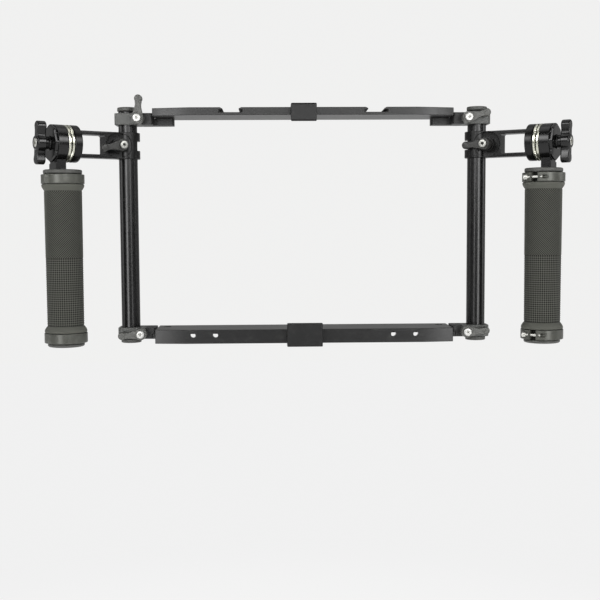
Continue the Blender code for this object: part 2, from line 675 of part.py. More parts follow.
def make_corner_clamp(place, level, side_name, black, steel):
    """A split clamp round the rod, with a tongue under its plate and the bolt that holds it."""
    bottom = CLAMP_BOTTOMS[level]
    top = bottom + CLAMP_HEIGHT
    tongue_top = TONGUE_TOPS[level]
    half = CLAMP_HALF_DEPTH
    outline = rounded([
        (-CLAMP_END_FROM_ROD, -half, TONGUE_CORNER),
        (half, -half, CLAMP_CORNER),
        (half, half, CLAMP_CORNER),
        (-CLAMP_END_FROM_ROD, half, TONGUE_CORNER),
    ])
    clamp = place.piece(f"corner_clamp_{level}_{side_name}", prism(outline, "Z", bottom, top), black)
    tongue_root = CLAMP_END_FROM_ROD - 2 * TONGUE_CORNER
    tongue = rectangle(
        -TONGUE_END_FROM_ROD, -tongue_root, TONGUE_FRONTS[level], TONGUE_BACK, TONGUE_CORNER)
    place.add(clamp, prism(tongue, "Z", bottom + GAP, tongue_top))
    bore = ROD_DIAMETER + 2 * GAP
    place.cut(clamp, cylinder(bore, "Z", bottom - THROUGH, top + THROUGH, FINE))
    slit = CLAMP_SLIT / 2
    slit_start = -CLAMP_END_FROM_ROD - THROUGH
    place.cut(clamp, box(slit_start, -bore / 2 + GAP, -slit, slit, bottom - THROUGH, top + THROUGH))
    middle = (-CLAMP_SCREW_FROM_ROD, 0, (bottom + top) / 2)
    ends = (-half - THROUGH, TONGUE_BACK + THROUGH)
    place.cut(clamp, cylinder(hole_size(SCREW_DIAMETER), "Y", *ends, SMALL, middle))
    bolt_middle = (-CORNER_BOLT_FROM_ROD, CORNER_BOLT_Y, 0)
    ends = (bottom - THROUGH, top + THROUGH)
    place.cut(clamp, cylinder(hole_size(SCREW_DIAMETER), "Z", *ends, SMALL, bolt_middle))
    face = {"top": TOP_Z, "bottom": BAY_FLOOR}[level]
    name = f"corner_bolt_{level}_{side_name}"
    make_screw(place, name, bottom + GAP, face - GAP, 1, BOLT_HEAD_HEIGHT - GAP, bolt_middle, steel)


def lever_outline():
    """A lever that points up: a round hub, a narrow waist and a round tip."""
    hub = LEVER_HUB_DIAMETER / 2
    tip = LEVER_TIP_DIAMETER / 2
    waist = LEVER_WAIST / 2
    tip_middle = LEVER_LENGTH - tip
    waist_height = (hub + tip_middle - tip) / 2 + tip / 2
    outline = arc((0, 0), hub - LEVER_HUB_PROUD, 130, 410, 2 * HALF_TURN_STEPS)
    outline += [(waist, waist_height - waist), (waist, waist_height)]
    outline += arc((0, tip_middle), tip, -40, 220, HALF_TURN_STEPS)
    outline += [(-waist, waist_height), (-waist, waist_height - waist)]
    return outline


def make_lever(place, name, seat, depths, screw_end, black, bright):
    """A clamp lever whose hub sits on a face in front of the place, and its bright screw.

    The hub's axis runs along Y. seat is how far in front the face is, depths are those of the hub
    and of the lever's arm, and screw_end is how far behind the place the screw reaches.
    """
    hub_depth, arm_depth = depths
    back = -seat - GAP
    front = back - hub_depth
    arm_front = front + LEVER_HUB_PROUD
    arm_back = arm_front + arm_depth
    lever = place.piece(name, cylinder(LEVER_HUB_DIAMETER, "Y", front, back, PLAIN), black)
    place.add(lever, prism(lever_outline(), "Y", arm_front, arm_back))
    tip_middle = (0, 0, LEVER_LENGTH - LEVER_TIP_DIAMETER / 2)
    tip_ends = (arm_front - LEVER_TIP_PROUD, arm_back - GAP)
    tip_diameter = LEVER_TIP_DIAMETER + GAP
    place.add(lever, cylinder(tip_diameter, "Y", *tip_ends, PLAIN, tip_middle, LEVER_TIP_PROUD / 2))
    bore = cylinder(hole_size(SCREW_DIAMETER), "Y", front - THROUGH, back + THROUGH, SMALL)
    place.cut(lever, bore)
    head = BRIGHT_HEAD_DIAMETER / 2
    shank = SCREW_DIAMETER / 2
    head_back = front - GAP
    head_front = head_back - BRIGHT_HEAD_HEIGHT
    profile = [(0, screw_end), (shank, screw_end), (shank, head_back), (head, head_back)]
    profile += [(head, head_front + BRIGHT_HEAD_EDGE), (head - BRIGHT_HEAD_EDGE, head_front)]
    profile += [(0, head_front)]
    screw = place.piece(name + "_screw", turned(profile, "Y", PLAIN), bright)
    socket = polygon(6, HEX_SOCKET, 0)
    place.cut(screw, prism(socket, "Y", head_front - THROUGH, head_front + HEX_SOCKET_DEPTH))


def make_arm(place, side_name, black):
    """A swing arm: a split ring on the rod, a web with a window, and the joint's disc."""
    half_height = ARM_HEIGHT / 2
    half_thickness = ARM_THICKNESS / 2
    cut_ends = (-half_height - THROUGH, half_height + THROUGH)
    join = math.degrees(math.asin(half_thickness / ARM_RING_RADIUS))
    web_end = ARM_DISC_START + JOINT_EDGE
    outline = arc((0, 0), ARM_RING_RADIUS, join, 360 - join, PLAIN)
    outline += [(web_end, -half_thickness), (web_end, half_thickness)]
    arm = place.piece("arm_" + side_name, prism(outline, "Z", -half_height, half_height), black)
    bevel_edges(arm, PLATE_EDGE)
    disc_ends = (ARM_DISC_START, ARM_DISC_END)
    place.add(arm, cylinder(JOINT_DIAMETER, "X", *disc_ends, FINE, edge=JOINT_EDGE))
    screw_middle = (ARM_SCREW_FROM_ROD, 0, 0)
    relief_ends = (-ARM_RING_RADIUS - THROUGH, -ARM_RELIEF_FLOOR)
    relief = cylinder(ARM_RELIEF_DIAMETER, "Y", *relief_ends, FINE, screw_middle)
    window = rectangle(
        ARM_WINDOW_START,
        ARM_DISC_START - ARM_END_WALL,
        -ARM_WINDOW_HEIGHT / 2,
        ARM_WINDOW_HEIGHT / 2,
        ARM_WINDOW_CORNER,
    )
    pivot_ends = (ARM_DISC_END - PIVOT_IN_DISC, ARM_DISC_END + THROUGH)
    pivot = cylinder(hole_size(PIVOT_DIAMETER), "X", *pivot_ends, PLAIN)
    place.cut(arm, relief, prism(window, "Y", -ARM_THICKNESS, ARM_THICKNESS), pivot)
    bore = ROD_DIAMETER + 2 * GAP
    inner_ends = (-half_height + PLATE_EDGE, half_height - PLATE_EDGE)
    place.add(arm, cylinder(bore + 2 * ARM_RELIEF_WALL, "Z", *inner_ends, FINE))
    place.add(arm, cylinder(ARM_SEAT_DIAMETER, "Y", -ARM_SEAT_FRONT, -GAP, PLAIN, screw_middle))
    place.cut(arm, cylinder(bore, "Z", *cut_ends, FINE))
    slit = ARM_SLIT / 2
    slit_end = ARM_WINDOW_START - ARM_RING_WALL
    ear_gap = ARM_EAR_GAP / 2
    between_ears = box(
        -ARM_RING_RADIUS - THROUGH,
        -ROD_DIAMETER / 4,
        -ARM_RING_RADIUS - THROUGH,
        ARM_RING_RADIUS + THROUGH,
        -ear_gap,
        ear_gap,
    )
    slit_box = box(bore / 2 - GAP, slit_end, -slit, slit, *cut_ends)
    place.cut(arm, between_ears, slit_box)
    ends = (-ARM_RING_RADIUS - THROUGH, half_thickness + THROUGH)
    place.cut(arm, cylinder(hole_size(SCREW_DIAMETER), "Y", *ends, SMALL, screw_middle))
    use_manifold_solver(arm)


def rosette(start, teeth_out, turn):
    """A ring with radial teeth on one face. teeth_out is +1 for teeth facing outward."""
    outer = JOINT_DIAMETER / 2
    inner = ROSETTE_BORE / 2
    flat, crest = start, start + ROSETTE_THICKNESS
    if teeth_out < 0:
        flat, crest = crest, flat
    valley = crest - teeth_out * TOOTH_HEIGHT
    mesh = bmesh.new()
    rings = []
    for index in range(2 * ROSETTE_TEETH):
        angle = turn + math.pi * index / ROSETTE_TEETH
        toothed = crest if index % 2 == 0 else valley
        corners = [(inner, flat), (outer, flat), (outer, toothed), (inner, toothed)]
        ring = []
        for radius, x in corners:
            y = radius * math.cos(angle)
            z = radius * math.sin(angle)
            ring.append(mesh.verts.new((x, y, z)))
        rings.append(ring)
    for ring, following in zip(rings, rings[1:] + rings[:1]):
        for corner in range(4):
            after = (corner + 1) % 4
            mesh.faces.new((ring[corner], ring[after], following[after], following[corner]))
    return mesh


def make_head(place, side_name, black, bright):
    """The handle's half of the joint: a toothed ring on a round head with a neck below."""
    half_tooth = math.pi / ROSETTE_TEETH / 2
    ring = rosette(HANDLE_ROSETTE_START, -1, half_tooth)
    place.piece("handle_rosette_" + side_name, ring, bright)
    radius = JOINT_DIAMETER / 2
    shoulder = HEAD_START + HEAD_LENGTH
    profile = [
        (0, HEAD_START),
        (radius - HEAD_BACK_EDGE, HEAD_START),
        (radius, HEAD_START + HEAD_BACK_EDGE),
        (radius, shoulder),
        (HEAD_FACE_DIAMETER / 2, HEAD_END),
        (0, HEAD_END),
    ]
    head = place.piece("handle_head_" + side_name, turned(profile, "X", FINE), black)
    neck_bottom = -HANDLE_TOP_BELOW_ARM + GAP
    under_washer = -WASHER_ACROSS_FLATS / 2 / math.cos(math.pi / WASHER_SIDES) - GAP
    neck = [
        (HEAD_START, neck_bottom),
        (HEAD_START + NECK_LENGTH, neck_bottom),
        (HEAD_START + NECK_LENGTH, under_washer),
        (shoulder - NECK_EDGE, under_washer),
        (shoulder - NECK_EDGE, -PIVOT_DIAMETER),
        (HEAD_START, -PIVOT_DIAMETER),
    ]
    place.add(head, prism(neck, "Y", -NECK_WIDTH / 2, NECK_WIDTH / 2))
    bore = hole_size(PIVOT_DIAMETER)
    cutters = [cylinder(bore, "X", HEAD_START - THROUGH, HEAD_END + THROUGH, PLAIN)]
    for index in range(HEAD_NOTCHES):
        angle = 2 * math.pi * (index + 0.5) / HEAD_NOTCHES
        notch_middle = (0, radius * math.cos(angle), radius * math.sin(angle))
        ends = (shoulder - HEAD_NOTCH_DIAMETER / 2, HEAD_END + THROUGH)
        cutters.append(cylinder(HEAD_NOTCH_DIAMETER, "X", *ends, SMALL, notch_middle))
    place.cut(head, *cutters)
    washer_end = WASHER_START + WASHER_THICKNESS
    outer_outline = polygon(WASHER_SIDES, WASHER_ACROSS_FLATS, WASHER_TURN, WASHER_CORNER)
    face_across_flats = WASHER_ACROSS_FLATS - 2 * WASHER_EDGE
    face_outline = polygon(WASHER_SIDES, face_across_flats, WASHER_TURN, WASHER_CORNER)
    layers = [
        (WASHER_START, outer_outline),
        (washer_end - WASHER_EDGE_THICKNESS, outer_outline),
        (washer_end, face_outline),
    ]
    washer = place.piece("pressure_washer_" + side_name, stacked(layers), black)
    washer_ends = (WASHER_START - THROUGH, washer_end + THROUGH)
    place.cut(washer, cylinder(bore, "X", *washer_ends, PLAIN))


def knob_outline():
    """A wing knob seen along its axis: a round hub between two wings that point up and down."""
    hub = KNOB_HUB_DIAMETER / 2
    tip = KNOB_TIP_WIDTH / 2
    waist = KNOB_WAIST_WIDTH / 2
    tip_middle = KNOB_LENGTH / 2 - tip
    join_angle = math.degrees(math.acos(waist / hub))
    upper = arc((0, tip_middle), tip, 0, 180, HALF_TURN_STEPS)
    side = arc((0, 0), hub, 180 - join_angle, 180 + join_angle, CORNER_STEPS)
    half = upper + [(-waist, (tip_middle + hub) / 2)] + side
    other_half = [(-y, -z) for y, z in half]
    wing_side = [(-waist, -(tip_middle + hub) / 2)]
    other_side = [(waist, (tip_middle + hub) / 2)]
    return half + wing_side + other_half + other_side


def make_knob(place, side_name, black, bright):
    """The wing knob and the long screw that draws the joint together."""
    hub = KNOB_HUB_DIAMETER / 2
    neck = KNOB_NECK_DIAMETER / 2
    collar = KNOB_COLLAR_DIAMETER / 2
    collar_end = KNOB_START + KNOB_COLLAR_THICKNESS
    profile = [
        (0, KNOB_START),
        (collar, KNOB_START),
        (collar, collar_end),
        (neck, collar_end),
        (neck, KNOB_WING_START + KNOB_EDGE),
        (hub - KNOB_EDGE, KNOB_WING_START + KNOB_EDGE),
        (hub - KNOB_EDGE, KNOB_WING_END),
        (hub - 2 * KNOB_EDGE, KNOB_END),
        (0, KNOB_END),
    ]
    turn = Matrix.Rotation(KNOB_TURNS[side_name], 2)
    outline = [tuple(turn @ Vector(point)) for point in knob_outline()]
    wings = prism(outline, "X", KNOB_WING_START, KNOB_WING_END)
    knob = place.piece("wing_knob_" + side_name, wings, black)
    bevel_edges(knob, KNOB_EDGE)
    place.add(knob, turned(profile, "X", PLAIN))
    bore = hole_size(PIVOT_DIAMETER) / 2
    head = KNOB_SCREW_HEAD_DIAMETER / 2
    pocket = head + SCREW_CLEARANCE
    seat = KNOB_END - BRIGHT_HEAD_HEIGHT
    profile = [(0, KNOB_START - THROUGH), (bore, KNOB_START - THROUGH), (bore, seat - GAP)]
    profile += [(pocket, seat - GAP), (pocket, KNOB_END + THROUGH), (0, KNOB_END + THROUGH)]
    place.cut(knob, turned(profile, "X", PLAIN))
    shank = PIVOT_DIAMETER / 2
    tip = ARM_DISC_END - PIVOT_IN_DISC + GAP
    profile = [(0, tip), (shank, tip), (shank, seat), (head, seat)]
    profile += [(head, KNOB_END - BRIGHT_HEAD_EDGE), (head - BRIGHT_HEAD_EDGE, KNOB_END)]
    profile += [(0, KNOB_END)]
    screw = place.piece("knob_screw_" + side_name, turned(profile, "X", PLAIN), bright)
    socket = polygon(6, KNOB_HEX_SOCKET, 0)
    place.cut(screw, prism(socket, "X", KNOB_END - HEX_SOCKET_DEPTH, KNOB_END + THROUGH))


def make_core(place, side_name, black):
    """The bar inside the grip with its round top cap, and the cap in its lower end."""
    top = -HANDLE_TOP_BELOW_ARM
    under_cap = top - HANDLE_CAP_THICKNESS
    cap = HANDLE_CAP_DIAMETER / 2
    core = CORE_DIAMETER / 2
    bottom = END_CAP_Z + END_CAP_THICKNESS + GAP
    bore = CORE_BORE / 2
    bore_top = bottom + CORE_BORE_DEPTH
    profile = [
        (0, top),
        (cap - HANDLE_CAP_EDGE, top),
        (cap, top - HANDLE_CAP_EDGE),
        (cap, under_cap),
        (core, under_cap),
        (core, bottom),
        (bore, bottom),
        (bore, bore_top),
        (0, bore_top),
    ]
    place.piece("handle_core_" + side_name, turned(profile, "Z", FINE), black)
    end = END_CAP_DIAMETER / 2
    end_top = END_CAP_Z + END_CAP_THICKNESS
    plug = bore - GAP
    profile = [
        (0, end_top + END_PLUG_LENGTH),
        (plug, end_top + END_PLUG_LENGTH),
        (plug, end_top),
        (end, end_top),
        (end, END_CAP_Z + END_CAP_EDGE),
        (end - END_CAP_EDGE, END_CAP_Z),
        (0, END_CAP_Z),
    ]
    place.piece("end_cap_" + side_name, turned(profile, "Z", FINE), black)


def make_sleeve(place, side_name, rubber):
    """The grip sleeve: a long rubber grip between two flared ends that the lock rings hold."""
    bore = CORE_DIAMETER / 2 + GAP
    seat = RING_BORE_RADIUS - GAP
    flange = FLANGE_DIAMETER / 2
    top = RING_TOP_Z - GAP
    bottom = BOTTOM_RING_Z + GAP
    half_slope = FLANGE_SLOPE_HEIGHT / 2
    profile = [
        (bore, top),
        (seat, top),
        (seat, TOP_FLANGE_Z),
        (flange, TOP_FLANGE_Z),
        (flange, TOP_FLANGE_Z - half_slope / 2),
        (flange - (flange - GRIP_TOP_DIAMETER / 2) / 3, TOP_FLANGE_Z - half_slope * 1.5),
        (GRIP_TOP_DIAMETER / 2, GRIP_TOP_Z),
        (GRIP_BOTTOM_DIAMETER / 2, GRIP_BOTTOM_Z),
        (flange - (flange - GRIP_BOTTOM_DIAMETER / 2) / 3, BOTTOM_FLANGE_Z + half_slope * 1.5),
        (flange, BOTTOM_FLANGE_Z + half_slope / 2),
        (flange, BOTTOM_FLANGE_Z),
        (seat, BOTTOM_FLANGE_Z),
        (seat, bottom),
        (bore, bottom),
    ]
    place.piece("grip_sleeve_" + side_name, turned(profile, "Z", FINE), rubber)


def make_ring(place, level, side_name, bottom, height, black, bright):
    """A lock ring with a slit, and the small screw across the slit."""
    outer = RING_DIAMETER / 2
    top = bottom + height
    profile = [
        (RING_BORE_RADIUS, bottom),
        (outer - RING_EDGE, bottom),
        (outer, bottom + RING_EDGE),
        (outer, top - RING_EDGE),
        (outer - RING_EDGE, top),
        (RING_BORE_RADIUS, top),
    ]
    name = f"lock_ring_{level}_{side_name}"
    ring = place.piece(name, turned(profile, "Z", FINE), black)
    slit = RING_SLIT / 2
    slit_ends = (-outer - THROUGH, -RING_BORE_RADIUS + THROUGH)
    place.cut(ring, box(-slit, slit, *slit_ends, bottom - THROUGH, top + THROUGH))
    middle = (0, -outer + RING_SCREW_INSET, (bottom + top) / 2)
    head_seat = -RING_SLIT / 2 - RING_LUG
    head_end = head_seat - RING_HEAD_LENGTH
    tip = head_seat + RING_SCREW_LENGTH
    bore = cylinder(hole_size(RING_SCREW_DIAMETER), "X", head_seat - GAP, outer, SMALL, middle)
    place.cut(ring, bore)
    pocket_ends = (-2 * outer, head_seat)
    place.cut(ring, cylinder(hole_size(RING_HEAD_DIAMETER), "X", *pocket_ends, SMALL, middle))
    shank = RING_SCREW_DIAMETER / 2
    head = RING_HEAD_DIAMETER / 2
    under_head = head_seat - GAP
    profile = [(0, head_end), (head, head_end), (head, under_head), (shank, under_head)]
    profile += [(shank, tip), (0, tip)]
    place.piece(f"lock_screw_{level}_{side_name}", turned(profile, "X", SMALL, middle), bright)


def make_side(side_name, black, satin, rubber, bright, steel):
    """Everything on one rod: rod, clamps, levers, swing arm, joint and handle."""
    side = SIDES[side_name]
    rod_place = Place("rod_axis_" + side_name, side, None, (ROD_X, 0, 0))
    make_rod(rod_place, side_name, black)
    for level in ("top", "bottom"):
        make_corner_clamp(rod_place, level, side_name, satin, steel)
        lever_place = Place(
            f"corner_lever_axis_{level}_{side_name}",
            side,
            rod_place,
            (-CLAMP_SCREW_FROM_ROD, 0, CLAMP_BOTTOMS[level] + CLAMP_HEIGHT / 2),
            (0, LEVER_ANGLES[level, side_name], 0),
        )
        name = f"corner_lever_{level}_{side_name}"
        half = CLAMP_HALF_DEPTH
        depths = (CORNER_LEVER_HUB_DEPTH, CORNER_LEVER_ARM_DEPTH)
        make_lever(lever_place, name, half, depths, half - GAP, satin, bright)
    swing = ARM_SWINGS[side_name]
    arm_place = Place("arm_axis_" + side_name, side, rod_place, (0, 0, ARM_Z), (0, 0, -swing))
    make_arm(arm_place, side_name, black)
    rest_tooth = rosette(ARM_ROSETTE_START, 1, 0)
    arm_place.piece("arm_rosette_" + side_name, rest_tooth, bright)
    arm_lever_place = Place(
        "arm_lever_axis_" + side_name,
        side,
        arm_place,
        (ARM_SCREW_FROM_ROD, 0, 0),
        (0, ARM_LEVER_ANGLES[side_name], 0),
    )
    name = "arm_lever_" + side_name
    screw_end = ARM_THICKNESS / 2 - GAP
    depths = (ARM_LEVER_HUB_DEPTH, ARM_LEVER_ARM_DEPTH)
    make_lever(arm_lever_place, name, ARM_SEAT_FRONT, depths, screw_end, black, bright)
    joint_place = Place("handle_axis_" + side_name, side, arm_place)
    make_head(joint_place, side_name, black, bright)
    make_knob(Place("knob_axis_" + side_name, side, joint_place), side_name, black, bright)
    handle_place = Place("grip_axis_" + side_name, side, joint_place, (HANDLE_FROM_ROD, 0, 0))
    make_core(handle_place, side_name, black)
    make_sleeve(handle_place, side_name, rubber)
    slit_turn = (0, 0, swing + side * RING_SLIT_ANGLES[side_name])
    ring_place = Place("lock_ring_axis_" + side_name, side, handle_place, turn=slit_turn)
    ring_bottom = RING_TOP_Z - TOP_RING_HEIGHT
    make_ring(ring_place, "top", side_name, ring_bottom, TOP_RING_HEIGHT, satin, bright)
    make_ring(ring_place, "bottom", side_name, BOTTOM_RING_Z, BOTTOM_RING_HEIGHT, satin, bright)


def main():
    """Build the whole cage."""
    remove_old_objects()
    black = finish("black_anodised", (0.012, 0.012, 0.012), 0.38, 0.6)
    satin = finish("satin_black", (0.03, 0.03, 0.028), 0.45, 0.6)
    rubber = finish("black_rubber", (0.035, 0.035, 0.033), 0.85, 0.0)
    bright = finish("bright_steel", (0.7, 0.7, 0.66), 0.22, 1.0)
    steel = finish("black_steel", (0.02, 0.02, 0.02), 0.35, 0.8)
    cage = Place("cage")
    make_bottom_plate(cage, black)
    make_top_plate(cage, black)
    make_top_clip(cage, black, steel)
    make_bottom_clip(cage, black, steel)
    for side_name in SIDES:
        make_side(side_name, black, satin, rubber, bright, steel)


main()
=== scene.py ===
"""A cage with two swing-out handles, dressed: every piece is drawn again with its eased edges,
teeth, knurl and finish.

Metres, +Z up. The cage's front faces -Y. Pieces are drawn for the right side, with +X pointing
outward, and mirrored for the left side. Each is drawn in its station's frame, on the axis of the
rod, arm or handle that carries it.
"""

import logging
import math
from dataclasses import dataclass
from enum import Enum
from functools import cached_property

import bmesh
import bpy
from mathutils import Matrix, Vector


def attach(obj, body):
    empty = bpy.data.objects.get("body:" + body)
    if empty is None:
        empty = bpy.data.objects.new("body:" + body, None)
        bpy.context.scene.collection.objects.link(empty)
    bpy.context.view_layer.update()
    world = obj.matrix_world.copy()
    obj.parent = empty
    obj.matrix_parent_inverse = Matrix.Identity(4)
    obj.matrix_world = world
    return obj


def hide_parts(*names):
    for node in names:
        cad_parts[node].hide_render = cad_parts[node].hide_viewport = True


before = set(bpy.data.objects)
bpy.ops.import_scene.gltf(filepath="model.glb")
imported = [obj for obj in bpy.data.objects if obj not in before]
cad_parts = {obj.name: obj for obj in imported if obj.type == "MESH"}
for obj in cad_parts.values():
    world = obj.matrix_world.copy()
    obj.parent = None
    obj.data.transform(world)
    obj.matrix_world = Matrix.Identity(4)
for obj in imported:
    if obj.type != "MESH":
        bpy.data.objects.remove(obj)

MM = 0.001
GAP = 0.3 * MM
THROUGH = 2.0 * MM
SCREW_HOLE = 3.7 * MM
PIVOT_HOLE = 6.7 * MM
SOCKET_DEPTH = 1.4 * MM
FINE = 96
PLAIN = 64
SMALL = 40
SAME_POINT = 1e-7
NEARLY_STRAIGHT = math.radians(89)
MOST_OF_A_SIDE = 0.45
LOG = logging.getLogger("cage")

Colour = tuple[float, float, float]
Point = tuple[float, float]
Place = tuple[float, float, float]
Outline = list[Point]
Mesh = bmesh.types.BMesh
ORIGIN: Place = (0.0, 0.0, 0.0)


class Side(Enum):
    """A side of the cage, seen from the front."""

    LEFT = -1
    RIGHT = 1

    @property
    def word(self) -> str:
        """The side as it stands in the names of pieces."""
        return self.name.lower()


class Level(Enum):
    """The upper or the lower of two like pieces."""

    TOP = "top"
    BOTTOM = "bottom"

    @property
    def out(self) -> int:
        """Which way along Z leads out of the cage."""
        return 1 if self is Level.TOP else -1

    @property
    def body(self) -> str:
        """The body that this level's plate rides on."""
        return "top_carriage" if self is Level.TOP else "base"


class Axis(Enum):
    """The axis that a piece is turned about or drawn along."""

    X = "X"
    Y = "Y"
    Z = "Z"


class Solver(Enum):
    """How meshes are cut and joined."""

    EXACT = "EXACT"
    MANIFOLD = "MANIFOLD"


class Signal:
    """A value, colour, vector or shader in a node tree, for use in Python expressions."""

    def __init__(self, tree: "Tree", socket: bpy.types.NodeSocket) -> None:
        """Keeps the tree that the socket belongs to, and the socket."""
        self.tree = tree
        self.socket = socket

    def maths(
            self, operation: str, first: "Signal | float",
            second: "Signal | float" = 0.0) -> "Signal":
        """A Math node.

        Args:
            operation: The node's operation.
            first: Its first value.
            second: Its second value.

        Returns:
            The node's result.
        """
        return self.tree.node("ShaderNodeMath", {"operation": operation}, {0: first, 1: second})

    def __add__(self, other: "Signal | float") -> "Signal":
        """The sum of two values."""
        return self.maths("ADD", self, other)

    def __sub__(self, other: "Signal | float") -> "Signal":
        """One value less another."""
        return self.maths("SUBTRACT", self, other)

    def __rsub__(self, other: float) -> "Signal":
        """A number less this value."""
        return self.maths("SUBTRACT", other, self)

    def __mul__(self, other: "Signal | float") -> "Signal":
        """The product of two values."""
        return self.maths("MULTIPLY", self, other)

    def __pow__(self, other: float) -> "Signal":
        """This value to a power."""
        return self.maths("POWER", self, other)

    def __or__(self, other: "Signal") -> "Signal":
        """The larger of two values."""
        return self.maths("MAXIMUM", self, other)

    __radd__ = __add__
    __rmul__ = __mul__

    def between(self, low: float, high: float, start: float = 0.0, end: float = 1.0) -> "Signal":
        """A smooth step.

        Args:
            low: Where the step begins.
            high: Where it ends.
            start: The result below the step.
            end: The result above it.

        Returns:
            The step's result.
        """
        inputs = {0: self, 1: low, 2: high, 3: start, 4: end}
        return self.tree.node("ShaderNodeMapRange", {"interpolation_type": "SMOOTHSTEP"}, inputs)

    def near(self, value: float, width: float) -> "Signal":
        """0 below a value and 1 above it, with a step of twice a width."""
        return self.between(value - width, value + width)

    def blend(self, first: "Signal | Colour", second: "Signal | Colour") -> "Signal":
        """A colour that goes from the first at 0 to the second at 1.

        Args:
            first: The colour at 0.
            second: The colour at 1.

        Returns:
            The colour between them.
        """
        ends = [end if isinstance(end, Signal) else (*end, 1.0) for end in (first, second)]
        inputs = {0: self, 6: ends[0], 7: ends[1]}
        return self.tree.node("ShaderNodeMix", {"data_type": "RGBA"}, inputs, 2)

    def mix(self, first: "Signal", second: "Signal") -> "Signal":
        """A shader that goes from the first at 0 to the second at 1."""
        return self.tree.node("ShaderNodeMixShader", {}, {0: self, 1: first, 2: second})


class Tree:
    """The node tree of a material or a world."""

    def __init__(self, owner: bpy.types.Material | bpy.types.World, empty: bool = True) -> None:
        """Turns the owner's nodes on and keeps its tree.

        Args:
            owner: The material or world.
            empty: Whether the nodes that it starts with are taken out.
        """
        owner.use_nodes = True
        self.tree = owner.node_tree
        if empty:
            self.tree.nodes.clear()

    def node(self, kind: str, settings: dict, inputs: dict, output: int | str = 0) -> Signal:
        """Any node of the tree.

        Args:
            kind: The node's type.
            settings: Its own settings, set first.
            inputs: The values or links of its sockets, by index or name.
            output: Which of its outputs is wanted.

        Returns:
            That output.
        """
        made = self.tree.nodes.new(kind)
        for key, value in settings.items():
            setattr(made, key, value)
        for key, value in inputs.items():
            if isinstance(value, Signal):
                self.tree.links.new(value.socket, made.inputs[key])
            else:
                made.inputs[key].default_value = value
        return Signal(self, made.outputs[output])

    def place(self, output: str = "Object") -> Signal:
        """The place on the piece in its own frame, or another output of Texture Coordinate."""
        return self.node("ShaderNodeTexCoord", {}, {}, output)

    def split(self, vector: Signal) -> list[Signal]:
        """A vector's three numbers."""
        node = self.node("ShaderNodeSeparateXYZ", {}, {0: vector}).socket.node
        return [Signal(self, socket) for socket in node.outputs]

    def end(self, kind: str, shader: Signal) -> None:
        """Ends the tree with a shader in an output node."""
        self.tree.links.new(shader.socket, self.tree.nodes.new(kind).inputs[0])


class Surface(Tree):
    """A material's node tree round one Principled shader."""

    def __init__(self, name: str, constants: dict[str, float]) -> None:
        """Makes the material.

        Args:
            name: The material's name.
            constants: What is the same all over, set on the shader's own sockets.
        """
        self.material = bpy.data.materials.new(name)
        super().__init__(self.material, empty=False)
        self.shader = self.tree.nodes["Principled BSDF"]
        for socket, value in constants.items():
            self.shader.inputs[socket].default_value = value

    def millimetres(self) -> list[Signal]:
        """The place on the piece as three numbers, in millimetres."""
        return [number * (1 / MM) for number in self.split(self.place())]

    def noise(self, per_mm: float, detail: float = 2.0) -> Signal:
        """A noise from 0 to 1 over the piece, with so many waves to the millimetre."""
        inputs = {"Vector": self.place(), "Scale": per_mm / MM, "Detail": detail}
        return self.node("ShaderNodeTexNoise", {}, inputs)

    def lines(self, along: Signal, per_mm: float, detail: float = 3.0) -> Signal:
        """Fine uneven lines across a direction."""
        inputs = {"W": along, "Scale": per_mm, "Detail": detail}
        return self.node("ShaderNodeTexNoise", {"noise_dimensions": "1D"}, inputs)

    def feed(self, socket: str, signal: Signal) -> None:
        """Links a signal to one of the shader's sockets."""
        self.tree.links.new(signal.socket, self.shader.inputs[socket])

    def relief(self, height: Signal, depth: float) -> None:
        """Raises the surface by a height from 0 to 1 times a depth in metres."""
        inputs = {"Strength": 1.0, "Distance": depth, "Height": height}
        self.feed("Normal", self.node("ShaderNodeBump", {}, inputs))


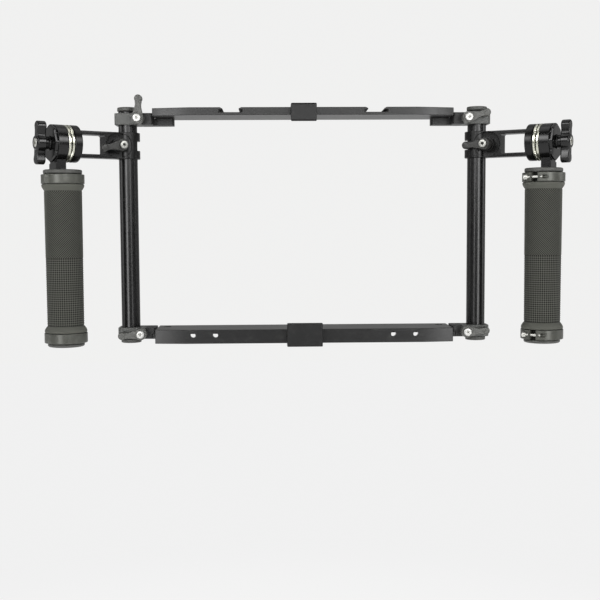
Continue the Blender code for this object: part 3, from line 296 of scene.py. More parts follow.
@dataclass(frozen=True)
class Metal:
    """A metal finish: a colour that drifts, blast grain or turning lines, and rubbed patches.

    A finish that is turned on a lathe can have painted shade on the floor of its socket, round its
    axis, and a clamp's finish turns to a painted shade, near black, on its tongue away from the
    rod.
    Radii are in metres, and the widths of steps between colours in millimetres.
    """

    name: str
    slot: str
    colour: Colour
    rubbed: Colour
    roughness: float
    metallic: float = 0.0
    specular: float = 0.5
    drift_per_mm: float = 0.045
    drift_detail: float = 3.0
    smear_per_mm: float = 0.16
    smear_detail: float = 5.0
    smear_step: Point = (0.52, 0.74)
    rub_shares: Point = (0.55, 0.35)
    rub_step: Point = (0.2, 0.8)
    roughness_drop: float = 0.05
    roughness_shares: Place = (0.07, 0.05, 0.03)
    grain: float = 0.012 * MM
    grain_per_mm: float = 5.0
    lathe: Axis | None = None
    lathe_depth: float = 0.006 * MM
    lathe_per_mm: float = 9.0
    lathe_share: float = 0.7
    lathe_grain_share: float = 0.3
    # The socket fields paint shade on the floor of a screw's socket, round the lathe axis.
    socket_shade_radius: float = 0.0
    socket_shade_step: float = 0.15
    socket: Colour = (0.30, 0.30, 0.28)
    # The tongue fields paint shade, near black, on a clamp's tongue beyond this distance from the
    # rod.
    tongue_shade_from: float = 0.0
    tongue_shade_step: float = 0.2
    tongue: Colour = (0.010, 0.010, 0.010)

    @cached_property
    def material(self) -> bpy.types.Material:
        """The finish as a material, made once.

        Returns:
            The material.
        """
        constants = {"Metallic": self.metallic, "Specular IOR Level": self.specular}
        surface = Surface(self.name, constants)
        drift = surface.noise(self.drift_per_mm, self.drift_detail)
        smear = surface.noise(self.smear_per_mm, self.smear_detail).between(*self.smear_step)
        grain = surface.noise(self.grain_per_mm)
        rub = (smear * self.rub_shares[0] + drift * self.rub_shares[1]).between(*self.rub_step)
        colour = rub.blend(self.colour, self.rubbed)
        drifting, smeared, grained = self.roughness_shares
        smooth = self.roughness - self.roughness_drop
        surface.feed("Roughness", smooth + drift * drifting + smear * smeared + grain * grained)
        # Painted shade: the clamp's tongue, away from the rod, turns near black.
        if self.tongue_shade_from:
            x = surface.millimetres()[0]
            outside = ((x * x) ** 0.5).near(self.tongue_shade_from / MM, self.tongue_shade_step)
            colour = outside.blend(colour, self.tongue)
        if self.lathe is None:
            surface.relief(grain, self.grain)
        else:
            x, y, z = surface.millimetres()
            turns = {Axis.X: (x, y, z), Axis.Y: (y, x, z), Axis.Z: (z, x, y)}
            along, across, up = turns[self.lathe]
            radius = (across * across + up * up) ** 0.5
            # Painted shade on the floor of the screw's socket, round the lathe axis.
            if self.socket_shade_radius:
                inside = 1 - radius.near(self.socket_shade_radius / MM, self.socket_shade_step)
                colour = inside.blend(colour, self.socket)
            lines = surface.lines(along + radius, self.lathe_per_mm)
            relief = lines * self.lathe_share + grain * self.lathe_grain_share
            surface.relief(relief, self.lathe_depth)
        surface.feed("Base Color", colour)
        return surface.material


@dataclass(frozen=True)
class Rubber:
    """Moulded rubber with a fine grain: paler on its raised points, partly from wear, and darker in
    the valleys between them, which is painted shade.

    The sleeve's radius, height and relief are in millimetres.
    """

    name: str = "grip_rubber"
    slot: str = "black_rubber"
    # The crest colour is partly wear and partly painted light, and the valley colour is painted
    # shade, to bring out the knurl.
    valley: Colour = (0.004, 0.004, 0.003)
    crest: Colour = (0.105, 0.107, 0.092)
    specular: float = 0.2
    sheen: float = 0.05
    top_radius: float = 14.35
    taper: float = 0.3 / 106.0
    top_z: float = -36.8
    half_relief: float = 0.17
    mottle_per_mm: float = 0.12
    mottle_detail: float = 4.0
    raised_share: float = 0.85
    mottle_share: float = 0.15
    roughness: float = 0.70
    roughness_spread: float = 0.16
    grain: float = 0.03 * MM
    grain_per_mm: float = 4.5
    grain_detail: float = 3.0

    @cached_property
    def material(self) -> bpy.types.Material:
        """The finish as a material, made once.

        Returns:
            The material.
        """
        constants = {"Specular IOR Level": self.specular, "Sheen Weight": self.sheen}
        surface = Surface(self.name, constants)
        x, y, z = surface.millimetres()
        height = (x * x + y * y) ** 0.5 - (self.top_radius + (z - self.top_z) * self.taper)
        # Painted light and shade: raised points paler, partly from wear, and the valleys darkened
        # as shade.
        raised = height.near(0.0, self.half_relief)
        mottle = surface.noise(self.mottle_per_mm, self.mottle_detail)
        crest_wear_and_valley_shade = raised * self.raised_share + mottle * self.mottle_share
        surface.feed("Base Color", crest_wear_and_valley_shade.blend(self.valley, self.crest))
        surface.feed("Roughness", self.roughness + mottle * self.roughness_spread)
        surface.relief(surface.noise(self.grain_per_mm, self.grain_detail), self.grain)
        return surface.material


PLATE_BLACK = Metal(
    "plate_black", "black_anodised", (0.010, 0.010, 0.010), (0.017, 0.017, 0.016), 0.30,
    specular=0.45)
CLIP_BLACK = Metal(
    "clip_black", "black_anodised", (0.008, 0.008, 0.008), (0.014, 0.014, 0.013), 0.36,
    specular=0.4)
ARM_BLACK = Metal(
    "arm_black", "black_anodised", (0.003, 0.003, 0.003), (0.007, 0.007, 0.006), 0.27,
    specular=0.35)
ROD_BLACK = Metal(
    "rod_black", "black_anodised", (0.004, 0.004, 0.004), (0.007, 0.007, 0.006), 0.24,
    lathe=Axis.Z, lathe_depth=0.003 * MM)
CAP_BLACK = Metal(
    "cap_black", "black_anodised", (0.075, 0.076, 0.070), (0.100, 0.101, 0.094), 0.46, lathe=Axis.Z)
JOINT_BLACK = Metal(
    "joint_black", "black_anodised", (0.003, 0.003, 0.003), (0.006, 0.006, 0.006), 0.23,
    lathe=Axis.X, lathe_depth=0.003 * MM)
KNOB_BLACK = Metal(
    "knob_black", "black_anodised", (0.004, 0.004, 0.004), (0.010, 0.010, 0.009), 0.19)
# The clamp's tongue, beyond 12.6 mm from the rod, is painted near black as shade.
CLAMP_SATIN = Metal(
    "clamp_satin", "satin_black", (0.100, 0.103, 0.097), (0.128, 0.131, 0.124), 0.46,
    tongue_shade_from=12.6 * MM)
LEVER_SATIN = Metal(
    "lever_satin", "satin_black", (0.095, 0.096, 0.089), (0.130, 0.130, 0.121), 0.42)
RING_SATIN = Metal(
    "ring_satin", "satin_black", (0.085, 0.087, 0.075), (0.115, 0.117, 0.103), 0.32, metallic=0.25,
    lathe=Axis.Z, lathe_depth=0.004 * MM)
# The bright screws get painted shade on the floors of their sockets.
SCREW_BRIGHT = Metal(
    "screw_bright", "bright_steel", (0.66, 0.66, 0.64), (0.54, 0.54, 0.52), 0.42, metallic=1.0,
    lathe=Axis.Y, lathe_per_mm=14.0, socket_shade_radius=0.95 * MM)
ARM_SCREW = Metal(
    "arm_screw", "bright_steel", (0.50, 0.50, 0.47), (0.38, 0.38, 0.35), 0.40, metallic=1.0,
    lathe=Axis.Y, lathe_per_mm=14.0, socket_shade_radius=1.2 * MM, socket=(0.03, 0.03, 0.03))
ARM_LEVER = Metal(
    "arm_lever", "black_anodised", (0.030, 0.030, 0.028), (0.050, 0.050, 0.047), 0.36)
# The knob screw gets painted shade on the floor of its socket.
PIVOT_BRIGHT = Metal(
    "pivot_bright", "bright_steel", (0.78, 0.78, 0.73), (0.62, 0.62, 0.57), 0.34, metallic=1.0,
    lathe=Axis.X, lathe_per_mm=14.0, socket_shade_radius=1.3 * MM)
ROSETTE_BRIGHT = Metal(
    "rosette_bright", "bright_steel", (0.72, 0.72, 0.62), (0.50, 0.50, 0.41), 0.24, metallic=1.0)
SCREW_BLACK = Metal(
    "screw_black", "black_steel", (0.014, 0.014, 0.014), (0.024, 0.024, 0.023), 0.34, lathe=Axis.Z)
GRIP_RUBBER = Rubber()


def arc(centre: Point, radius: float, start: float, end: float, steps: int) -> Outline:
    """Points on a circle.

    Args:
        centre: The circle's middle.
        radius: Its radius.
        start: The first point's angle in degrees.
        end: The last point's angle in degrees.
        steps: How many steps lie between them.

    Returns:
        The points.
    """
    angles = [math.radians(start + (end - start) * i / steps) for i in range(steps + 1)]
    return [(centre[0] + radius * math.cos(a), centre[1] + radius * math.sin(a)) for a in angles]


def eased(points: Outline, ease: float, closed: bool = True, steps: int = 3) -> Outline:
    """An outline or a profile with its corners rounded.

    Args:
        points: The corners.
        ease: The rounding's radius, which a short side next to a corner can lower.
        closed: Whether the last point joins the first.
        steps: How many steps each rounding has.

    Returns:
        The outline with its rounded corners.
    """
    result: Outline = []
    count = len(points)
    for index, point in enumerate(points):
        corner = Vector(point)
        before = Vector(points[index - 1]) - corner
        after = Vector(points[(index + 1) % count]) - corner
        half_angle = before.angle(after) / 2
        if half_angle > NEARLY_STRAIGHT or not closed and index in (0, count - 1):
            result.append(point)
            continue
        shortest = min(before.length, after.length)
        reach = min(ease / math.tan(half_angle), shortest * MOST_OF_A_SIDE)
        radius = reach * math.tan(half_angle)
        before.normalize()
        after.normalize()
        middle = corner + (before + after).normalized() * radius / math.sin(half_angle)
        start = corner + before * reach - middle
        end = corner + after * reach - middle
        for step in range(steps + 1):
            result.append(tuple(middle + start.slerp(end, step / steps).normalized() * radius))
    return result


def rectangle(x0: float, x1: float, y0: float, y1: float, radius: float = 0.0) -> Outline:
    """A rectangle's outline, with rounded corners if a radius is given."""
    corners = [(x0, y0), (x1, y0), (x1, y1), (x0, y1)]
    return eased(corners, radius, steps=6) if radius else corners


def polygon(sides: int, across_flats: float, radius: float = 0.0) -> Outline:
    """A regular polygon's outline, with a corner on its first axis.

    Args:
        sides: How many sides it has.
        across_flats: The distance between two opposite sides.
        radius: The rounding of its corners, 0 for sharp ones.

    Returns:
        The outline.
    """
    corner = across_flats / 2 / math.cos(math.pi / sides)
    angles = [2 * math.pi * index / sides for index in range(sides)]
    corners = [(corner * math.cos(a), corner * math.sin(a)) for a in angles]
    return eased(corners, radius) if radius else corners


def prism(outline: Outline, axis: Axis, start: float, end: float) -> Mesh:
    """A closed mesh: an outline extruded along an axis.

    Args:
        outline: Points in XY for axis Z, in XZ for axis Y and in YZ for axis X.
        axis: The axis to extrude along.
        start: Where the extrusion starts.
        end: Where it ends.

    Returns:
        The mesh.
    """
    place = {
        Axis.X: lambda u, v, w: (w, u, v),
        Axis.Y: lambda u, v, w: (u, w, v),
        Axis.Z: lambda u, v, w: (u, v, w),
    }[axis]
    mesh = bmesh.new()
    face = mesh.faces.new([mesh.verts.new(place(u, v, start)) for u, v in outline])
    grown = bmesh.ops.extrude_face_region(mesh, geom=[face])
    moved = [item for item in grown["geom"] if isinstance(item, bmesh.types.BMVert)]
    bmesh.ops.translate(mesh, vec=place(0, 0, end - start), verts=moved)
    return mesh


def box(x0: float, x1: float, y0: float, y1: float, z0: float, z1: float) -> Mesh:
    """A closed box between two corners, for use as a cutter."""
    return prism(rectangle(x0, x1, y0, y1), Axis.Z, z0, z1)


def turned(profile: Outline, axis: Axis, steps: int, centre: Place = ORIGIN) -> Mesh:
    """A closed mesh: a profile turned about an axis.

    Args:
        profile: Points as (radius, height). A profile off the axis closes on itself.
        axis: The axis to turn about.
        steps: How many steps make the full turn.
        centre: A point that the axis goes through.

    Returns:
        The mesh.
    """
    mesh = bmesh.new()
    points = [mesh.verts.new((radius, 0.0, height)) for radius, height in profile]
    edges = [mesh.edges.new(pair) for pair in zip(points, points[1:])]
    if profile[0][0] > 0 or profile[-1][0] > 0:
        edges.append(mesh.edges.new((points[-1], points[0])))
    bmesh.ops.spin(
        mesh, geom=points + edges, axis=(0, 0, 1), cent=(0, 0, 0), steps=steps, angle=2 * math.pi)
    bmesh.ops.remove_doubles(mesh, verts=mesh.verts, dist=SAME_POINT)
    turn = {
        Axis.X: Matrix.Rotation(math.pi / 2, 4, "Y"),
        Axis.Y: Matrix.Rotation(-math.pi / 2, 4, "X"),
        Axis.Z: Matrix(),
    }[axis]
    bmesh.ops.transform(mesh, matrix=turn, verts=mesh.verts)
    bmesh.ops.translate(mesh, vec=centre, verts=mesh.verts)
    return mesh


def cylinder(
        diameter: float, axis: Axis, start: float, end: float, steps: int = PLAIN,
        centre: Place = ORIGIN, ease: float = 0.0) -> Mesh:
    """A closed cylinder along an axis.

    Args:
        diameter: Its diameter.
        axis: The axis that it lies along.
        start: Where it starts along the axis.
        end: Where it ends.
        steps: How many steps make the full turn.
        centre: A point that its axis goes through.
        ease: The rounding of its ends, 0 for sharp ones.

    Returns:
        The mesh.
    """
    profile = [(0, start), (diameter / 2, start), (diameter / 2, end), (0, end)]
    if ease:
        profile = eased(profile, ease, closed=False)
    return turned(profile, axis, steps, centre)


def hole(
        diameter: float, axis: Axis, start: float, end: float, steps: int = PLAIN,
        centre: Place = ORIGIN) -> Mesh:
    """A cutter for a round hole, standing out past the two faces that it opens."""
    return cylinder(diameter, axis, start - THROUGH, end + THROUGH, steps, centre)


def faced(loops: list[list[bmesh.types.BMVert]], mesh: Mesh, closed: bool) -> Mesh:
    """Joins each loop of points to the next with faces.

    Args:
        loops: The loops, with as many points each.
        mesh: The mesh that they belong to.
        closed: Whether the last loop joins the first.

    Returns:
        The mesh.
    """
    pairs = list(zip(loops, loops[1:]))
    if closed:
        pairs.append((loops[-1], loops[0]))
    for loop, following in pairs:
        for index in range(len(loop)):
            mesh.faces.new((loop[index - 1], loop[index], following[index], following[index - 1]))
    return mesh


def screw_profile(
        tip: float, head_back: float, head_front: float, shank: float, head: float,
        ease: float) -> Outline:
    """A screw's profile from its tip to the front of its head, with eased edges.

    Args:
        tip: Where the shank ends.
        head_back: Where the head starts.
        head_front: The face of the head.
        shank: The shank's diameter.
        head: The head's diameter.
        ease: The rounding of its edges.

    Returns:
        The profile as (radius, height).
    """
    profile = [(0, tip), (shank / 2, tip), (shank / 2, head_back), (head / 2, head_back)]
    profile += [(head / 2, head_front), (0, head_front)]
    return eased(profile, ease, closed=False)


class Blank:
    """A piece in the making: a mesh that is cut, grown and softened, then baked into one mesh."""

    def __init__(self, mesh: Mesh, solver: Solver = Solver.EXACT) -> None:
        """Starts from a closed mesh.

        Args:
            mesh: The mesh.
            solver: How it is to be cut and grown.
        """
        self.solver = solver
        self.tools: list[bpy.types.Object] = []
        self.item = self.loose(mesh)

    @staticmethod
    def loose(*meshes: Mesh) -> bpy.types.Object:
        """Closed meshes as one smooth object that faces out.

        Args:
            meshes: The meshes, which are used up.

        Returns:
            The object.
        """
        data = bpy.data.meshes.new("blank")
        whole = bmesh.new()
        for mesh in meshes:
            bmesh.ops.recalc_face_normals(mesh, faces=mesh.faces)
            mesh.to_mesh(data)
            mesh.free()
            whole.from_mesh(data)
        whole.to_mesh(data)
        whole.free()
        data.shade_smooth()
        item = bpy.data.objects.new("blank", data)
        bpy.context.collection.objects.link(item)
        return item

    def shape(self, operation: str, meshes: tuple[Mesh, ...]) -> "Blank":
        """Cuts meshes away from the piece, or grows it by them.

        Args:
            operation: DIFFERENCE to cut, UNION to grow.
            meshes: The meshes, which stand clear of each other.

        Returns:
            The blank itself.
        """
        tool = self.loose(*meshes)
        self.tools.append(tool)
        modifier = self.item.modifiers.new(operation.lower(), "BOOLEAN")
        modifier.solver = self.solver.value
        modifier.operation = operation
        modifier.object = tool
        return self

    def cut(self, *meshes: Mesh) -> "Blank":
        """Cuts meshes that stand clear of each other away from the piece."""
        return self.shape("DIFFERENCE", meshes)

    def add(self, *meshes: Mesh) -> "Blank":
        """Grows the piece by meshes that stand clear of each other."""
        return self.shape("UNION", meshes)

    def soften(self, width: float, segments: int = 3, angle: float = 30.0) -> "Blank":
        """Rounds the piece's edges.

        Args:
            width: How wide the rounding is.
            segments: How many steps it has.
            angle: Only edges sharper than this angle in degrees are rounded.

        Returns:
            The blank itself.
        """
        modifier = self.item.modifiers.new("soften", "BEVEL")
        modifier.width = width
        modifier.segments = segments
        modifier.limit_method = "ANGLE"
        modifier.angle_limit = math.radians(angle)
        modifier.use_clamp_overlap = False
        return self

    def bake(self) -> bpy.types.Mesh:
        """Finishes the piece and deletes the tools that it was made with.

        Returns:
            The finished mesh.
        """
        graph = bpy.context.evaluated_depsgraph_get()
        mesh = bpy.data.meshes.new_from_object(self.item.evaluated_get(graph))
        for item in (self.item, *self.tools):
            bpy.data.objects.remove(item, do_unlink=True)
        return mesh


@dataclass(frozen=True)
class Station:
    """A frame that pieces are drawn in, and the side of the cage that they belong to."""

    side: Side
    matrix: Matrix

    def moved(self, location: Place, about_y: float = 0.0, about_z: float = 0.0) -> "Station":
        """A station in this one's frame.

        Args:
            location: Its origin.
            about_y: How far it is turned about Y, in degrees.
            about_z: How far it is then turned about Z, in degrees.

        Returns:
            The station.
        """
        first = Matrix.Rotation(math.radians(about_y), 4, "Y")
        turn = Matrix.Rotation(math.radians(about_z), 4, "Z") @ first
        return Station(self.side, self.matrix @ Matrix.Translation(location) @ turn)

    def place(
            self, node: str, body: str, blank: Blank | Mesh, finish: Metal | Rubber,
            sharp: float = 32.0) -> None:
        """Puts a piece where its plain solid is, in its stead.

        Args:
            node: The solid that it stands for.
            body: The body that it rides on.
            blank: The piece's shape, drawn in this station's frame.
            finish: What it is made of.
            sharp: Edges sharper than this angle in degrees stay crisp.
        """
        mesh = (blank if isinstance(blank, Blank) else Blank(blank)).bake()
        mirror = Matrix.Scale(self.side.value, 4, (1, 0, 0))
        mesh.transform(mirror)
        if self.side is Side.LEFT:
            mesh.flip_normals()
        mesh.shade_smooth()
        mesh.set_sharp_from_angle(angle=math.radians(sharp))
        mesh.materials.clear()
        mesh.materials.append(finish.material)
        piece = bpy.data.objects.new(node + "_fine", mesh)
        bpy.context.collection.objects.link(piece)
        piece.matrix_world = mirror @ self.matrix @ mirror
        piece.modifiers.new("even_shading", "WEIGHTED_NORMAL").keep_sharp = True
        bpy.context.view_layer.update()
        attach(piece, body)
        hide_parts(node)
        LOG.info("%s rides on %s in %s", piece.name, body, finish.name)


@dataclass(frozen=True)
class Layout:
    """Heights and places that several sub-assemblies share."""

    rod_x: float = 142.3 * MM
    bottom_z: float = 4.0 * MM
    web_underside: float = 11.3 * MM
    bay_floor: float = 15.3 * MM
    bay_roof: float = 186.4 * MM
    top_z: float = 192.6 * MM
    plate_front: float = -20.8 * MM
    plate_back: float = 19.2 * MM
    plate_end: float = 120.8 * MM
    bolt_x: float = 113.0 * MM
    bolt_y: float = 7.2 * MM
    arm_z: float = 163.55 * MM


LAYOUT = Layout()


@dataclass(frozen=True)
class SunkScrew:
    """A small black screw with a hexagon socket, sunk flush in a stepped hole."""

    shank: float = 3.0 * MM
    head: float = 5.6 * MM
    head_hole: float = 6.3 * MM
    socket: float = 2.5 * MM
    socket_share: float = 0.6
    ease: float = 0.2 * MM

    def hole(self, start: float, seat: float, end: float, middle: Place) -> Mesh:
        """A cutter for the screw's hole, which widens at the head's seat.

        Args:
            start: The height of the shank's end of the hole.
            seat: The height of the head's seat.
            end: The height of the head's end.
            middle: A point on its axis.

        Returns:
            The cutter.
        """
        hole = SCREW_HOLE / 2
        head = self.head_hole / 2
        profile = [(0, start), (hole, start), (hole, seat), (head, seat), (head, end), (0, end)]
        return turned(profile, Axis.Z, SMALL, middle)

    def build(
            self, station: Station, node: str, body: str, tip: float, face: float,
            head_height: float, middle: Place) -> None:
        """Makes the screw.

        Args:
            station: The frame that it is drawn in.
            node: The solid that it stands for.
            body: The body that it rides on.
            tip: The height of the shank's end.
            face: The height of the head's face.
            head_height: How thick the head is.
            middle: A point on its axis.
        """
        out = 1 if face > tip else -1
        seat = face - out * head_height
        profile = screw_profile(tip, seat, face, self.shank, self.head, self.ease)
        outline = [(middle[0] + x, middle[1] + y) for x, y in polygon(6, self.socket)]
        ends = sorted((face - out * head_height * self.socket_share, face + out * THROUGH))
        blank = Blank(turned(profile, Axis.Z, SMALL, middle)).cut(prism(outline, Axis.Z, *ends))
        station.place(node, body, blank, SCREW_BLACK)


@dataclass(frozen=True)
class Plates:
    """The top plate with its cold shoe slots, and the bottom plate with its flange and socket."""

    top_straight_front: float = 182.4 * MM
    top_sweep: float = 6.0 * MM
    bottom_straight_front: float = 192.4 * MM
    bottom_sweep: float = 3.0 * MM
    flange: float = 5.0 * MM
    ease: float = 0.4 * MM
    bolt_head: float = 1.6 * MM
    bolt_reach: float = 11.3 * MM
    shoe_x: float = 58.0 * MM
    shoe_mouth: float = 12.8 * MM
    shoe_width: float = 19.0 * MM
    shoe_depth: float = 3.9 * MM
    shoe_lip: float = 1.9 * MM
    shoe_bevel: float = 1.0 * MM
    shoe_bevel_reach: float = 2.0 * MM
    block: float = 40.0 * MM
    boss: float = 22.0 * MM
    boss_height: float = 5.0 * MM
    boss_ease: float = 0.5 * MM
    socket: float = 8.6 * MM
    socket_depth: float = 10.0 * MM
    flange_hole: float = 4.2 * MM
    flange_hole_height: float = 6.8 * MM
    flange_holes: Point = (72.0 * MM, 90.1 * MM)

    def outline(self, straight_front: float, sweep: float) -> Outline:
        """A plate seen from above, its front edge swept back towards both ends.

        Args:
            straight_front: How long the front's straight middle is.
            sweep: How far back each end of the front lies.

        Returns:
            The outline.
        """
        half = straight_front / 2
        end = LAYOUT.plate_end
        front = LAYOUT.plate_front
        back = LAYOUT.plate_back
        return [
            (-half, front), (half, front), (end, front + sweep), (end, back), (-end, back),
            (-end, front + sweep)]

    def shoe(self, middle: float) -> Outline:
        """A cold shoe slot seen from the front.

        Args:
            middle: Where its middle lies along the plate.

        Returns:
            The outline.
        """
        top = LAYOUT.top_z
        mouth = self.shoe_mouth / 2
        half = self.shoe_width / 2
        reach = mouth + self.shoe_bevel_reach
        right = [
            (half, top - self.shoe_depth), (half, top - self.shoe_lip),
            (mouth, top - self.shoe_lip), (mouth, top - self.shoe_bevel), (reach, top),
            (reach, top + THROUGH)]
        left = [(-x, z) for x, z in reversed(right)]
        return [(middle + x, z) for x, z in right + left]

    def pocket(self, side: Side) -> Mesh:
        """A cutter for one side of the hollow under the bottom plate, behind its flange.

        Args:
            side: Which side of the plate.

        Returns:
            The cutter.
        """
        behind = LAYOUT.plate_front + self.flange
        half = self.bottom_straight_front / 2
        past = LAYOUT.plate_end + THROUGH
        back = LAYOUT.plate_back + THROUGH
        sweep = self.bottom_sweep * (past - half) / (LAYOUT.plate_end - half)
        outline = [
            (self.block / 2, behind), (half, behind), (past, behind + sweep), (past, back),
            (self.block / 2, back)]
        outline = [(side.value * x, y) for x, y in outline]
        return prism(outline, Axis.Z, LAYOUT.bottom_z - THROUGH, LAYOUT.web_underside)

    def bolt_holes(self, top: float) -> list[Mesh]:
        """Cutters for the two corner bolts of a plate.

        Args:
            top: The height of the plate's upper face.

        Returns:
            The cutters.
        """
        seat = top - self.bolt_head - GAP
        places = [(side.value * LAYOUT.bolt_x, LAYOUT.bolt_y, 0) for side in Side]
        start = top - self.bolt_reach
        return [SunkScrew().hole(start, seat, top + THROUGH, place) for place in places]

    def build(self, station: Station) -> None:
        """Makes both plates.

        Args:
            station: The frame that they are drawn in.
        """
        layout = LAYOUT
        outline = self.outline(self.top_straight_front, self.top_sweep)
        top = Blank(prism(outline, Axis.Z, layout.bay_roof, layout.top_z))
        ends = (layout.plate_front - THROUGH, layout.plate_back + THROUGH)
        top.cut(*[prism(self.shoe(side.value * self.shoe_x), Axis.Y, *ends) for side in Side])
        top.soften(self.ease).cut(*self.bolt_holes(layout.top_z))
        station.place("top_plate", "top_carriage", top, PLATE_BLACK)
        outline = self.outline(self.bottom_straight_front, self.bottom_sweep)
        bottom = Blank(prism(outline, Axis.Z, layout.bottom_z, layout.bay_floor))
        bottom.cut(*[self.pocket(side) for side in Side]).soften(self.ease)
        boss_top = layout.bottom_z + self.boss_height
        bottom.add(cylinder(self.boss, Axis.Z, 0, boss_top, FINE, ease=self.boss_ease))
        holes = self.bolt_holes(layout.bay_floor)
        holes.append(cylinder(self.socket, Axis.Z, -THROUGH, self.socket_depth))
        ends = (layout.plate_front, layout.plate_front + self.flange)
        for x in (sign * place for sign in (-1, 1) for place in self.flange_holes):
            middle = (x, 0, layout.bottom_z + self.flange_hole_height)
            holes.append(hole(self.flange_hole, Axis.Y, *ends, SMALL, middle))
        bottom.cut(*holes)
        station.place("bottom_plate", "base", bottom, PLATE_BLACK)


@dataclass(frozen=True)
class Clip:
    """A clip that hooks round a plate's front edge into the bay, and the screw in its tongue."""

    level: Level
    width: float
    lip: float
    tongue_end: float
    screw_behind_front: float
    wall: float = 3.0 * MM
    ahead: float = 8.7 * MM
    tongue: float = 1.7 * MM
    ease: float = 0.7 * MM
    head_height: float = 1.2 * MM
    screw_length: float = 6.0 * MM

    def build(self, station: Station) -> None:
        """Makes the clip and its screw.

        Args:
            station: The frame that they are drawn in.
        """
        node = self.level.value + "_clip"
        body = self.level.body
        out = self.level.out
        top = self.level is Level.TOP
        face = LAYOUT.top_z if top else LAYOUT.bottom_z
        bay = LAYOUT.bay_roof if top else LAYOUT.bay_floor
        front = LAYOUT.plate_front - self.ahead
        wall = front + self.wall
        near = face + out * GAP
        far = near + out * self.tongue
        back = LAYOUT.plate_front + self.tongue_end
        plate = LAYOUT.plate_front - GAP
        roof = bay + out * GAP
        lip = bay - out * self.lip
        outline = [
            (front, far), (back, far), (back, near), (plate, near), (plate, roof), (wall, roof),
            (wall, lip), (front, lip)]
        middle = (0, LAYOUT.plate_front + self.screw_behind_front, 0)
        seat = far - out * (self.head_height + GAP)
        blank = Blank(prism(eased(outline, self.ease / 2), Axis.X, -self.width / 2, self.width / 2))
        blank.soften(self.ease)
        screw = SunkScrew()
        blank.cut(screw.hole(near - out * THROUGH, seat, far + out * THROUGH, middle))
        station.place(node, body, blank, CLIP_BLACK)
        tip = far - out * (self.screw_length - GAP)
        screw.build(station, node + "_screw", body, tip, far, self.head_height, middle)


@dataclass(frozen=True)
class Rod:
    """A rod and the caps in its two ends."""

    diameter: float = 15.0 * MM
    bore: float = 10.0 * MM
    bottom: float = 7.1 * MM
    top: float = 191.0 * MM
    ease: float = 0.4 * MM
    cap: float = 16.4 * MM
    cap_thickness: float = 3.2 * MM
    cap_ease: float = 0.7 * MM
    cap_rim: float = 2.2 * MM
    cap_dish: float = 2.5 * MM
    plug: float = 9.0 * MM

    def build(self, station: Station) -> None:
        """Makes the rod and its caps.

        Args:
            station: The rod's axis.
        """
        word = station.side.word
        bore = self.bore / 2
        profile = eased(rectangle(bore, self.diameter / 2, self.bottom, self.top), self.ease)
        station.place("rod_" + word, "base", turned(profile, Axis.Z, FINE), ROD_BLACK)
        for level, end in ((Level.TOP, self.top), (Level.BOTTOM, self.bottom)):
            out = level.out
            near = end + out * GAP
            far = near + out * self.cap_thickness
            tip = end - out * self.plug
            rim = self.cap / 2
            dish = far - out * GAP
            profile = [
                (0, tip), (bore - GAP, tip), (bore - GAP, near), (rim, near), (rim, far),
                (rim - self.cap_rim, far), (rim - self.cap_dish, dish), (0, dish)]
            mesh = turned(eased(profile, self.cap_ease, closed=False), Axis.Z, FINE)
            station.place(f"rod_cap_{level.value}_{word}", "base", mesh, CAP_BLACK)


